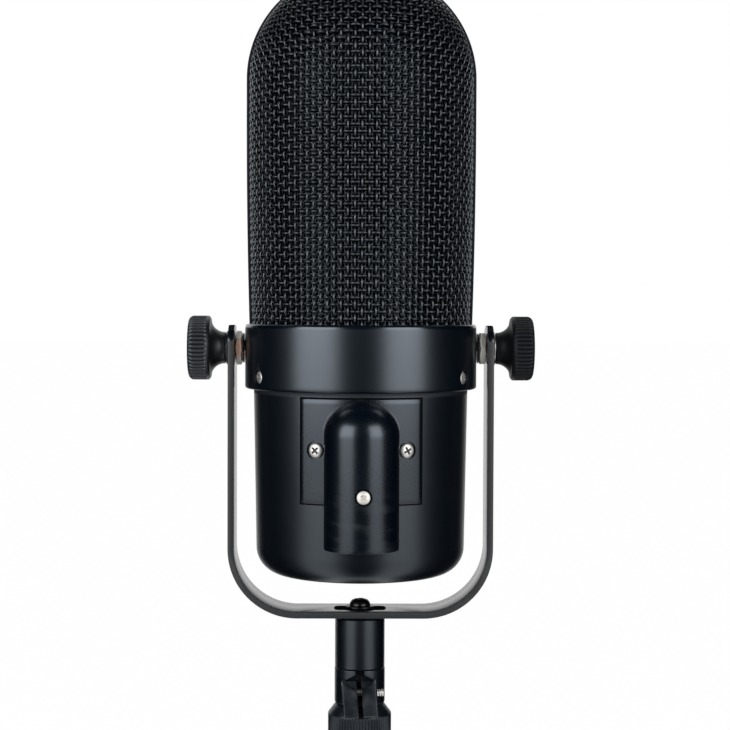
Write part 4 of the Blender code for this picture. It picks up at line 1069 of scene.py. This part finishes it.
# %% Collar
COLLAR_R = 37.5
COLLAR_SEAT_R = 36.6
COLLAR_SCREW_Z = 122.1
COLLAR_SCREW_ANGLES = (60, 180, 300)
COLLAR_RECESS_R = 2.4
COLLAR_TOP = 138.75
COLLAR_RINGS = (119.75, 124.5, 124.9, 127.4, 134.6)
CROWN_IN, CROWN_DOWN = 0.6, 1.5
PIVOT_Z = 131.0
STUD_HOLE_R = 3.2
crown = [(COLLAR_R - CROWN_IN * (1 - c), COLLAR_TOP - CROWN_DOWN * (1 - s), 0.0) for c, s in quarter(10)]
collar_profile = soften([
    (35.0, 118.0, 0.2), (COLLAR_R, 118.0, 1.7), *[(COLLAR_R, z, 0.0) for z in COLLAR_RINGS],
    *crown, (36.5, COLLAR_TOP, 0.15),
    (36.5, 134.0, 0.0), (29.5, 134.0, 0.0), (29.5, 126.2, 0.0), (35.0, 126.2, 0.0),
], closed=True, steps=8)
collar = raw("collar_ring", lathe(collar_profile, 240))


def around(degrees, radius, height):
    """A point at an angle from the front, towards +X."""
    angle = math.radians(degrees)
    return Vector((radius * math.sin(angle), -radius * math.cos(angle), height))


def away(degrees):
    return around(degrees, 1.0, 0.0)


for degrees in COLLAR_SCREW_ANGLES:
    carve(collar, rod(COLLAR_RECESS_R, around(degrees, COLLAR_SEAT_R - 0.2, COLLAR_SCREW_Z),
                      around(degrees, COLLAR_R + 2, COLLAR_SCREW_Z)))
for side in (-1, 1):
    carve(collar, rod(STUD_HOLE_R, (side * 25, 0, PIVOT_Z), (side * 40, 0, PIVOT_Z)))
dress(collar, PAINT, "head", "black_paint", "collar")

# %% Housing
CAN_LOW_R = 33.75
CAN_FOOT_R = 33.6
CAN_TOP_R = 34.8
CAN_Z = 58.0
CAN_FILLET = 8.7
CAN_TOP = 125.95
CAN_WALL = 2.0


def can_radius(height):
    rise = (height - CAN_Z - CAN_FILLET) / (CAN_TOP - CAN_Z - CAN_FILLET)
    return CAN_LOW_R + (CAN_TOP_R - CAN_LOW_R) * rise


can_profile = soften([
    (0.0, CAN_Z, 0.0), (CAN_FOOT_R, CAN_Z, CAN_FILLET), (CAN_TOP_R, CAN_TOP, 0.3),
    (CAN_TOP_R - CAN_WALL, CAN_TOP, 0.3), (CAN_FOOT_R - CAN_WALL, CAN_Z + CAN_WALL, CAN_FILLET - CAN_WALL),
    (0.0, CAN_Z + CAN_WALL, 0.0),
], steps=14)
dress(raw("housing_can", lathe(can_profile, 220)), CAN_PAINT, "head", "black_paint", "lower_housing")

# %% [markdown]
# ## Connector cover
# A thin saddle plate hugs the can, and a hood like a thimble grows out of it. The hood's section
# is a U whose round end shrinks along an ellipse at the top. Plate and hood are joined, hollowed
# to the can's curve, and then the plug's bore and the screw recesses are cut. A thin matte black
# sheet a little larger than the plate paints the shade line round it, and a light grey bead round
# the hood's top is a painted highlight.

# %% Cover
COVER_Z = 83.6
COVER_TOP = 116.1
COVER_T = 1.0
COVER_HALF_W = 18.55
SHADE_LINE_GROW = 0.45
SHADE_LINE_T = 0.1
HOOD_R = 11.4
HOOD_Y = -43.7
HOOD_Z = 71.2
HOOD_SPRING = 105.8
HOOD_RISE = COVER_TOP - HOOD_SPRING
SOCKET_R = 8.25
SEAT_GAP = 0.1
CUT_TOP = 124.0


def saddle_plate(thick, grow, edge, columns=36, rows=20):
    """A thin plate bent round the can, with rounded edges."""
    shape = bmesh.new()
    layers = []
    for offset in (SEAT_GAP - 0.6, SEAT_GAP + thick):
        grid = []
        for row in range(rows + 1):
            height = COVER_Z - grow + (COVER_TOP - COVER_Z + 2 * grow) * row / rows
            radius = can_radius(height) + offset
            half = math.asin((COVER_HALF_W + grow) / radius)
            angles = [half * (2 * column / columns - 1) for column in range(columns + 1)]
            grid.append([shape.verts.new(around(math.degrees(a), radius, height) * MM) for a in angles])
        layers.append(grid)
    inner, outer = layers
    rims = [(inner[0], outer[0]), (inner[-1], outer[-1])]
    rims += [([row[i] for row in inner], [row[i] for row in outer]) for i in (0, columns)]
    for rows_of_points in (inner, outer, *rims):
        skin(shape, rows_of_points)
    bmesh.ops.recalc_face_normals(shape, faces=shape.faces)
    return round_edges(shape, edge, segments=2)


def hood_shape(back=-28.0, around_steps=64, rise_steps=20):
    """The U section from the mouth to its rounded top."""
    shape = bmesh.new()
    sections = [(HOOD_R - 0.3, HOOD_Z), (HOOD_R - 0.08, HOOD_Z + 0.1), (HOOD_R, HOOD_Z + 0.35)]
    sections += [(HOOD_R, HOOD_Z + (HOOD_SPRING - HOOD_Z) * i / 36) for i in range(1, 37)]
    sections += [(HOOD_R * c, HOOD_SPRING + HOOD_RISE * s) for c, s in quarter(rise_steps)[1:]]
    angles = [-math.pi * i / around_steps for i in range(around_steps + 1)]
    rings = []
    for half, height in sections:
        nose = [(half * math.cos(a), HOOD_Y + half * math.sin(a)) for a in angles]
        line = [(half, back), *nose, (-half, back)]
        rings.append([shape.verts.new((x * MM, y * MM, height * MM)) for x, y in line])
    skin(shape, [[*ring, ring[0]] for ring in rings])
    shape.faces.new(rings[0])
    bmesh.ops.remove_doubles(shape, verts=shape.verts, dist=1e-6)
    bmesh.ops.dissolve_degenerate(shape, edges=shape.edges, dist=1e-7)
    bmesh.ops.recalc_face_normals(shape, faces=shape.faces)
    return shape


cover = raw("connector_hood", hood_shape())
carve(cover, saddle_plate(COVER_T, 0.0, 0.32), "UNION")
can_wall = [(can_radius(z) + SEAT_GAP, z) for z in np.linspace(CAN_Z + 2, CUT_TOP, 20)]
carve(cover, lathe([(0.0, CAN_Z), *can_wall, (0.0, CUT_TOP)], 220))
carve(cover, rod(SOCKET_R, (0, HOOD_Y, HOOD_Z - 1), (0, HOOD_Y, HOOD_Z + 25), 96))

# %% Cover's screw recesses
COVER_SCREW_X = 14.0
COVER_SCREW_Z = (COVER_Z + COVER_TOP) / 2 + 0.4
COVER_SEAT_R = can_radius(COVER_SCREW_Z) + 0.75
COVER_SCREW_DEGREES = math.degrees(math.asin(COVER_SCREW_X / COVER_SEAT_R))
LOCK_SEAT = (0.5, HOOD_Y - HOOD_R + 0.5, 88.0)


def recess(seat, direction, radius, groove_in, deep=0.5):
    """Cut a screw's seat in the cover, with a groove round it."""
    seat, direction = Vector(seat), Vector(direction)
    carve(cover, rod(radius - 0.1, seat, seat + 4 * direction))
    groove = [(groove_in, -deep), (radius, -deep), (radius, 3.0), (groove_in, 3.0)]
    carve(cover, moved(lathe(groove, 48), facing(seat, direction)))


for side in (-1, 1):
    degrees = side * COVER_SCREW_DEGREES
    recess(around(degrees, COVER_SEAT_R, COVER_SCREW_Z), away(degrees), 2.95, 2.2)
recess(LOCK_SEAT, (0, -1, 0), 2.65, 1.9)
dress(cover, HOOD_PAINT, "head", "black_paint", "connector_cover")
# Painted shade: a thin matte black sheet just larger than the plate draws the dark line round its edges.
shade_line = raw("cover_gasket", saddle_plate(SHADE_LINE_T, SHADE_LINE_GROW, 0.04))
dress(shade_line, SHADE_LINE_SHEET, "head", "black_paint", "connector_cover")

# %% Bead round the hood
BEAD_R = 0.32
BEAD_OUT = 0.2
bead_right = [((HOOD_R + BEAD_OUT) * math.cos(a), HOOD_SPRING + (HOOD_RISE - 0.5) * math.sin(a))
              for a in np.linspace(0.1, math.pi / 2, 24)]
bead_flat = bead_right + [(-x, z) for x, z in reversed(bead_right[:-1])]
bead = [(x, -math.sqrt((can_radius(z) + SEAT_GAP + COVER_T) ** 2 - x ** 2), z) for x, z in bead_flat]
# Painted highlight: the bead is light grey, standing in for the bright line along the hood's top.
bead_wire = wires("hood_bead", [bead], BEAD_R, 8, BEAD_HIGHLIGHT_GREY)
dress(bead_wire, BEAD_HIGHLIGHT_GREY, "head", "black_paint", "connector_cover", smooth_below=math.pi)

# %% [markdown]
# ### Plug insert and pins
# Inside the hood an insulating disc holds three contact pins that point down. The disc is turned
# with a shallow lip. The pins are one template on three points.

# %% Insert and pins
INSERT_Z = 85.0
insert_profile = soften([
    (0.0, INSERT_Z + 0.5, 0.0), (6.6, INSERT_Z + 0.5, 0.2), (6.9, INSERT_Z, 0.15), (8.0, INSERT_Z, 0.3),
    (8.0, INSERT_Z + 6.5, 0.3), (0.0, INSERT_Z + 6.5, 0.0),
])
insert = raw("plug_insert", moved(lathe(insert_profile, 72), Matrix.Translation((0, HOOD_Y * MM, 0))))
dress(insert, INSERT_PLASTIC, "head", "black_plastic", "connector_insert")
pin_profile = soften([(0.0, -4.7, 0.0), (1.2, -4.7, 0.1), (1.2, 11.0, 1.0), (0.0, 11.0, 0.0)])
pin_places = []
for index in range(3):
    foot = around(120 * index + 60, 4.2, INSERT_Z) + Vector((0, HOOD_Y, 0))
    pin_places.append((foot, (0, 0, -1), 0, 1.0))
pins = repeat("plug_pins", raw("pin_template", lathe(pin_profile, 24)), pin_places, NICKEL)
dress(pins, NICKEL, "head", "nickel", "contact_pin_1", "contact_pin_2", "contact_pin_3")

# %% [markdown]
# ## Screws
# All the small screws are the same pan head with a cross recess, in different sizes. The template
# has a head radius of 1 mm, and the points scale it. The cross is cut with two tapered bars, and
# the lock screw's is worn shallow.

# %% Screw template
COLLAR_HEAD_R = 2.1
COVER_HEAD_R = 2.35
LOCK_HEAD_R = 2.05
PAN_HEIGHT = 0.36
LOCK_CROSS_FLOOR = 0.02


def screw_template(height, floor=-0.25):
    """A screw of head radius 1 mm whose recess is a cross, cut down to the floor."""
    head = [(0.0, height, 0.0), (0.45, 0.97 * height, 0.0), (0.76, 0.80 * height, 0.0),
            (0.93, 0.48 * height, 0.0), (1.0, 0.12 * height, 0.0), (1.0, 0.0, 0.05), (0.52, 0.0, 0.0),
            (0.52, -1.4, 0.1), (0.0, -1.4, 0.0)]
    screw = raw("screw_template", lathe(soften(head, steps=3), 40))
    bar = [(-0.62, height + 0.1), (-0.34, floor), (0.34, floor), (0.62, height + 0.1)]
    for turn in (0, 90):
        carve(screw, moved(prism(bar, "Y", -0.15, 0.15), turned(turn, "Z")))
    return screw


head_places = []
for degrees, spin in zip(COLLAR_SCREW_ANGLES, (25, 70, 10)):
    seat = around(degrees, COLLAR_SEAT_R, COLLAR_SCREW_Z)
    head_places.append((seat, away(degrees), spin, COLLAR_HEAD_R))
for side, spin in ((-1, 20), (1, 52)):
    degrees = side * COVER_SCREW_DEGREES
    head_places.append((around(degrees, COVER_SEAT_R, COVER_SCREW_Z), away(degrees), spin, COVER_HEAD_R))
screws = repeat("head_screws", screw_template(PAN_HEIGHT), head_places, NICKEL)
dress(screws, NICKEL, "head", "nickel", "collar_screw_1", "collar_screw_2", "collar_screw_3",
      "cover_screw_left", "cover_screw_right")
lock_template = screw_template(PAN_HEIGHT, LOCK_CROSS_FLOOR)
lock_screw = repeat("lock_screw", lock_template, [(LOCK_SEAT, (0, -1, 0), 38, LOCK_HEAD_R)], LOCK_NICKEL)
dress(lock_screw, LOCK_NICKEL, "head", "nickel", "connector_screw")

# %% [markdown]
# ## Pivots
# On each side a stud leaves the collar. A dark spacer and a hex nut sit against the collar, then
# come the yoke's arm, a thin washer and the knob. A hex nut's corners are turned off to a cone, so
# the hexagon is trimmed by a chamfered disc.

# %% Nuts and spacers
HEX_FLATS = 10.0
HEX_CORNER_R = HEX_FLATS / math.sqrt(3)
HEX_T = 2.05
HEX_BORE_R = 3.05
SPACER_X, HEX_X, WASHER_X, KNOB_X = 37.75, 38.4, 42.95, 43.8


def on_pivot(side, out):
    """The frame on a pivot's axis that looks outwards."""
    return facing((side * out, 0, PIVOT_Z), (side, 0, 0))


hexagon = [(HEX_CORNER_R * math.cos(a), HEX_CORNER_R * math.sin(a)) for a in np.radians(range(30, 390, 60))]
chamfer = [(0.0, 0.0), (4.75, 0.0), (5.5, 0.4), (5.5, HEX_T - 0.4), (4.75, HEX_T), (0.0, HEX_T)]
for side, name, finish, turn in ((-1, "left", NUT_NICKEL, 0), (1, "right", NICKEL_PAINTED_WHITE, 30)):
    nut = raw(f"pivot_nut_{name}", moved(prism(hexagon, "Z", 0.0, HEX_T), turned(turn, "Z")))
    carve(nut, lathe(chamfer, 96), "INTERSECT")
    carve(nut, rod(HEX_BORE_R, (0, 0, -1), (0, 0, 4)))
    nut.data.transform(on_pivot(side, HEX_X))
    dress(nut, finish, "head", "nickel", f"hex_nut_{name}")

spacer = raw("spacer_template", lathe(flat_ring(3.1, 4.85, 0.0, 0.4, 0.12), 64))
spacer_places = [((side * SPACER_X, 0, PIVOT_Z), (side, 0, 0), 0, 1.0) for side in (-1, 1)]
spacers = repeat("pivot_spacers", spacer, spacer_places, BLACK_STEEL)
dress(spacers, BLACK_STEEL, "head", "black_steel", "pivot_spacer_left", "pivot_spacer_right")

# %% [markdown]
# ### Knobs
# A knob is moulded: a trumpet-shaped hub flares to a rim with many fine ribs. Each rib is round
# and meets the next in a sharp valley, so only its crown shines. The ribs run a little way onto
# the rounded edge and fade out there.

# %% Knobs and washers
KNOB_R = 10.4
KNOB_T = 12.0
KNOB_RIBS = 46
KNOB_RIB_DEPTH = 0.75
KNOB_ROUND = 1.8
knob_corners = [(0.0, 11.5, 0.0), (6.9, 11.55, 0.5), (7.3, KNOB_T, 0.3)]
knob_corners += [(KNOB_R + KNOB_ROUND * (s - 1), KNOB_T + KNOB_ROUND * (c - 1), 0.0) for c, s in quarter(8)]
knob_corners += [(KNOB_R, height, 0.0) for height in (9.8, 9.4, 8.0, 6.6, 6.3, 6.0)]
knob_corners += [(KNOB_R, 5.4, 0.5), (9.75, 4.85, 0.25)]
knob_corners += [(5.1 + 4.5 * (1 - c), 0.25 + 4.55 * s, 0.0) for c, s in reversed(quarter(12))]
knob_corners += [(4.9, 0.0, 0.1), (3.25, 0.0, 0.0), (3.25, 10.8, 0.0), (0.0, 10.8, 0.0)]
knob_profile = soften(knob_corners, steps=6)


def knob_ripple(angle, radius, height):
    if radius < KNOB_R - 0.9:
        return 0.0
    depth = KNOB_RIB_DEPTH * progress(height, 5.9, 6.4) * progress(height, 11.6, 10.8)
    across_rib = 2 * (KNOB_RIBS * angle / math.tau % 1.0) - 1
    return -depth * (1 - math.sqrt(1 - 0.9 * across_rib ** 2))


washer_profile = flat_ring(3.25, 5.4, 0.0, 0.6)
pivot_looks = ((-1, "left", LIT_COPY_PLASTIC, FITTING_PAINT), (1, "right", PLASTIC, STEEL))
for side, name, plastic, plate in pivot_looks:
    knob_shape = lathe(knob_profile, KNOB_RIBS * 8, knob_ripple)
    knob = raw(f"tilt_knob_{name}", moved(knob_shape, on_pivot(side, KNOB_X)))
    dress(knob, plastic, f"knob_{name}", "black_plastic", f"knob_{name}")
    washer = raw(f"tilt_washer_{name}", moved(lathe(washer_profile, 64), on_pivot(side, WASHER_X)))
    dress(washer, plate, f"washer_{name}", "black_steel", f"knob_washer_{name}")

# %% [markdown]
# ## Yoke
# The yoke is one steel strip, 18 mm wide and 2 mm thick, bent into a U with large round bends. Its
# upper ends have rounded corners, and all its edges are broken a little, as on any pressed strip.
# The slot in its foot has nearly square ends.

# %% Yoke
STRAP_IN = 40.7
STRAP_OUT = 42.7
STRAP_T = 2.0
STRAP_TOP = 138.4
STRAP_CORNER = 6.5
STRAP_HOLE_R = 3.25
FOOT_Z = 44.1
BEND_R = 22.4
SLOT_FLAT = 5.3
SLOT_END = 3.2
SLOT_HALF_W = 4.4
SLOT_SQUARENESS = 0.35


def bend(centre_x, radius, start, end, steps=36):
    angles = [math.radians(start + (end - start) * i / steps) for i in range(steps + 1)]
    return [(centre_x + radius * math.cos(a), FOOT_Z + BEND_R + radius * math.sin(a)) for a in angles]


bend_x = STRAP_OUT - BEND_R
outline = [(-STRAP_OUT, STRAP_TOP), *bend(-bend_x, BEND_R, 180, 270), *bend(bend_x, BEND_R, 270, 360),
           (STRAP_OUT, STRAP_TOP), (STRAP_IN, STRAP_TOP), *bend(bend_x, BEND_R - STRAP_T, 360, 270),
           *bend(-bend_x, BEND_R - STRAP_T, 270, 180), (-STRAP_IN, STRAP_TOP)]
strap_shape = prism(outline, "Y", -STRAP_HALF_W, STRAP_HALF_W)
corner_edges = []
for edge in strap_shape.edges:
    a, b = edge.verts
    if min(a.co.z, b.co.z) > (STRAP_TOP - 0.1) * MM and abs(a.co.y - b.co.y) < 1e-5:
        corner_edges.append(edge)
bmesh.ops.bevel(strap_shape, geom=corner_edges, offset=STRAP_CORNER * MM, segments=12, profile=0.5,
                affect="EDGES")
strap = raw("yoke_band", round_edges(strap_shape, 0.2, segments=2))
for side in (-1, 1):
    carve(strap, rod(STRAP_HOLE_R, (side * 39, 0, PIVOT_Z), (side * 45, 0, PIVOT_Z)))
slot_outline = [(SLOT_FLAT + SLOT_END * math.cos(a) ** SLOT_SQUARENESS, SLOT_HALF_W * math.sin(a))
                for a in np.radians(range(-90, 91, 10))]
slot_outline += [(-x, -y) for x, y in slot_outline]
carve(strap, prism(slot_outline, "Z", FOOT_Z - 1, FOOT_Z + 4))
dress(strap, YOKE_PAINT, "yoke", "black_paint", "yoke_strap")

# %% [markdown]
# ## Post, clamp and stand nut
# The yoke's screw and washer hold it on a turned post. The post turns in a split sleeve, which two
# ears and a screw clamp tight. The ears are a rounded block joined to the sleeve, and a slot and a
# notch are cut through both. Ears, slot and notch lean a little together. Below, a knurled nut
# screws on the stand.

# %% Post
FOOT_HEAD_R = 3.45
FOOT_HEAD_HEIGHT = 0.66
post_profile = soften([
    (0.0, 18.15, 0.0), (4.9, 18.15, 0.5), (4.9, 27.15, 0.0), (8.1, 27.15, 0.25), (8.1, 43.05, 0.15),
    (7.3, 43.85, 0.15), (2.75, 43.85, 0.1), (2.75, 34.95, 0.0), (0.0, 34.95, 0.0),
])
dress(raw("turned_post", lathe(post_profile, 128)), FITTING_PAINT, "post", "black_paint", "swivel_post")
foot_washer = raw("foot_washer", lathe(flat_ring(2.75, 4.6, 46.35, 46.95), 64))
dress(foot_washer, BLACK_STEEL, "post", "black_steel", "yoke_washer")
foot_place = ((0, 0, 47.0), (0, 0, 1), 30, FOOT_HEAD_R)
foot_screw = repeat("foot_screw", screw_template(FOOT_HEAD_HEIGHT), [foot_place], BLACK_STEEL)
dress(foot_screw, BLACK_STEEL, "post", "black_steel", "yoke_screw")

# %% Clamp sleeve
EAR_HALF_W = 5.5
EAR_LEAN = -4.5
EAR_MIDDLE = Matrix.Translation((0, 0, 18.5 * MM))
EAR_SLOT_HALF = 0.75
BOLT_Y, BOLT_Z = -11.4, 20.7
BOLT_HOLE_R = 1.45
sleeve_profile = soften([
    (0.0, 8.5, 0.0), (5.3, 8.5, 0.2), (5.3, 9.3, 0.0), (4.7, 9.3, 0.0), (4.7, 10.6, 0.0), (5.3, 10.6, 0.0),
    (5.3, 15.25, 0.0), (8.2, 15.25, 0.7), (8.2, 26.9, 0.25), (5.15, 26.9, 0.2), (5.15, 17.15, 0.0),
    (0.0, 17.15, 0.0),
])
sleeve = raw("clamp_ears", lathe(sleeve_profile, 128))
ear_turn = EAR_MIDDLE @ turned(EAR_LEAN, "Y") @ EAR_MIDDLE.inverted()
ear_outline = [(-13.8, 12.9), (-10.55, 12.9), (-10.55, 15.5), (-6.6, 15.5), (-6.6, 24.2), (-13.8, 24.2)]
ears = round_edges(prism(ear_outline, "X", -EAR_HALF_W, EAR_HALF_W), 0.45)
carve(sleeve, moved(ears, ear_turn), "UNION")
ear_slot = [(-18, 0.0), (-8.5, 0.0), (-8.5, 17.4), (-2.6, 17.4), (-2.6, 27.2), (-18, 27.2)]
carve(sleeve, moved(prism(ear_slot, "X", -EAR_SLOT_HALF, EAR_SLOT_HALF), ear_turn))
notch = [(-7.2, 25.3), (0.0, 20.9), (7.2, 25.3)]
carve(sleeve, moved(prism(notch, "Y", -18.0, -8.0), ear_turn))
funnel = [(-5.0, 23.6), (5.0, 23.6), (1.5, 25.6), (1.5, 27.5), (-1.5, 27.5), (-1.5, 25.6)]
carve(sleeve, prism(funnel, "Y", -9.0, -5.0))
carve(sleeve, rod(BOLT_HOLE_R, (-9, BOLT_Y, BOLT_Z), (9, BOLT_Y, BOLT_Z)))
dress(sleeve, FITTING_PAINT, "clamp", "black_paint", "clamp_sleeve")

# %% Clamp screw
BOLT_R = 1.2
BOLT_END = 7.7
BOLT_LENGTH = 12.0
THREAD_PITCH = 0.7
THREAD_DEPTH = 0.28


def thread(angle, radius, height):
    """A V thread on the straight part of the clamp screw."""
    if radius < BOLT_R - 0.05 or abs(height + BOLT_LENGTH / 2) > 5.4:
        return 0.0
    turn = (height / THREAD_PITCH - angle / math.tau) % 1.0
    return -THREAD_DEPTH * abs(2 * turn - 1)


screw_corners = [(0.0, 0.0, 0.0), (0.9, 0.0, 0.2), (BOLT_R, -0.5, 0.0)]
screw_corners += [(BOLT_R, -0.6 - THREAD_PITCH / 8 * step, 0.0) for step in range(1, 123)]
screw_corners += [(BOLT_R, -BOLT_LENGTH, 0.1), (0.0, -BOLT_LENGTH, 0.0)]
bolt_place = facing((BOLT_END, BOLT_Y, BOLT_Z), (1, 0, 0))
clamp_screw = raw("cross_screw", moved(lathe(soften(screw_corners), 24, thread), bolt_place))
dress(clamp_screw, SLOT_SHADED_NICKEL, "clamp", "nickel", "clamp_screw")

# %% Stand nut
NUT_R = 10.3
NUT_RIBS = 64
NUT_RIB_DEPTH = 0.34
BORE_R = 7.94
BORE_TOP = 10.6
BORE_STEP = 0.157
STAND_PITCH = 0.94
STAND_THREAD_DEPTH = 0.35


def nut_ripple(angle, radius, height):
    """Ribs round the outside and a thread in the bore."""
    if radius > NUT_R - 0.02:
        depth = NUT_RIB_DEPTH * progress(height, 0.7, 1.1) * progress(height, 11.7, 11.3)
        return -depth * (0.5 + 0.5 * math.cos(NUT_RIBS * angle)) ** 1.5
    if abs(radius - BORE_R) < 0.02 and 0.6 < height < 10.2:
        turn = (height / STAND_PITCH - angle / math.tau) % 1.0
        return STAND_THREAD_DEPTH * abs(2 * turn - 1)
    return 0.0


nut_corners = [(BORE_R, 0.0, 0.0), (NUT_R, 0.0, 0.5)]
nut_corners += [(NUT_R, height, 0.0) for height in (0.9, 1.2, 4.0, 8.0, 11.2, 11.5, 11.9)]
nut_corners += [(NUT_R - 0.1, 12.1, 0.0), (8.0, 15.0, 0.3), (5.55, 15.0, 0.2), (5.55, BORE_TOP, 0.0)]
nut_corners += [(BORE_R, BORE_TOP - BORE_STEP * step, 0.0) for step in range(67)]
stand_nut = raw("knurled_nut", lathe(soften(nut_corners, steps=4), NUT_RIBS * 6, nut_ripple))
dress(stand_nut, NUT_PAINT, "stand", "black_paint", "stand_nut")

# %% [markdown]
# ## Pieces that keep their solid
# Inside the grille and the can, the solids of the frame are already the right shape. They keep
# their meshes and only get their real finishes: steel, magnets, brass, foil, copper and rubber.

# %% Inner finishes
INNER = {
    STEEL: ("chassis_plate", "motor_frame", "pole_piece_left", "pole_piece_right", "transformer_core",
            "retaining_clip"),
    MAGNET: ("magnet_left", "magnet_right"),
    FOIL: ("ribbon",),
    BRASS: ("ribbon_clamp_bottom", "ribbon_clamp_top"),
    COPPER: ("transformer_coil",),
    LEAD_JACKET: ("output_lead_left", "output_lead_right"),
    NICKEL: ("chassis_screw_1", "chassis_screw_2", "chassis_screw_3", "pivot_stud_left", "pivot_stud_right"),
    HOOP_PAINT: ("grille_ring",),
}
for finish, names in INNER.items():
    for name in names:
        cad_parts[name].data.materials.clear()
        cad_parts[name].data.materials.append(finish)
print("solids with a new finish:", sum(len(names) for names in INNER.values()))

# %% [markdown]
# ## Last measure
# The dressed microphone has to be the size of the packed one.
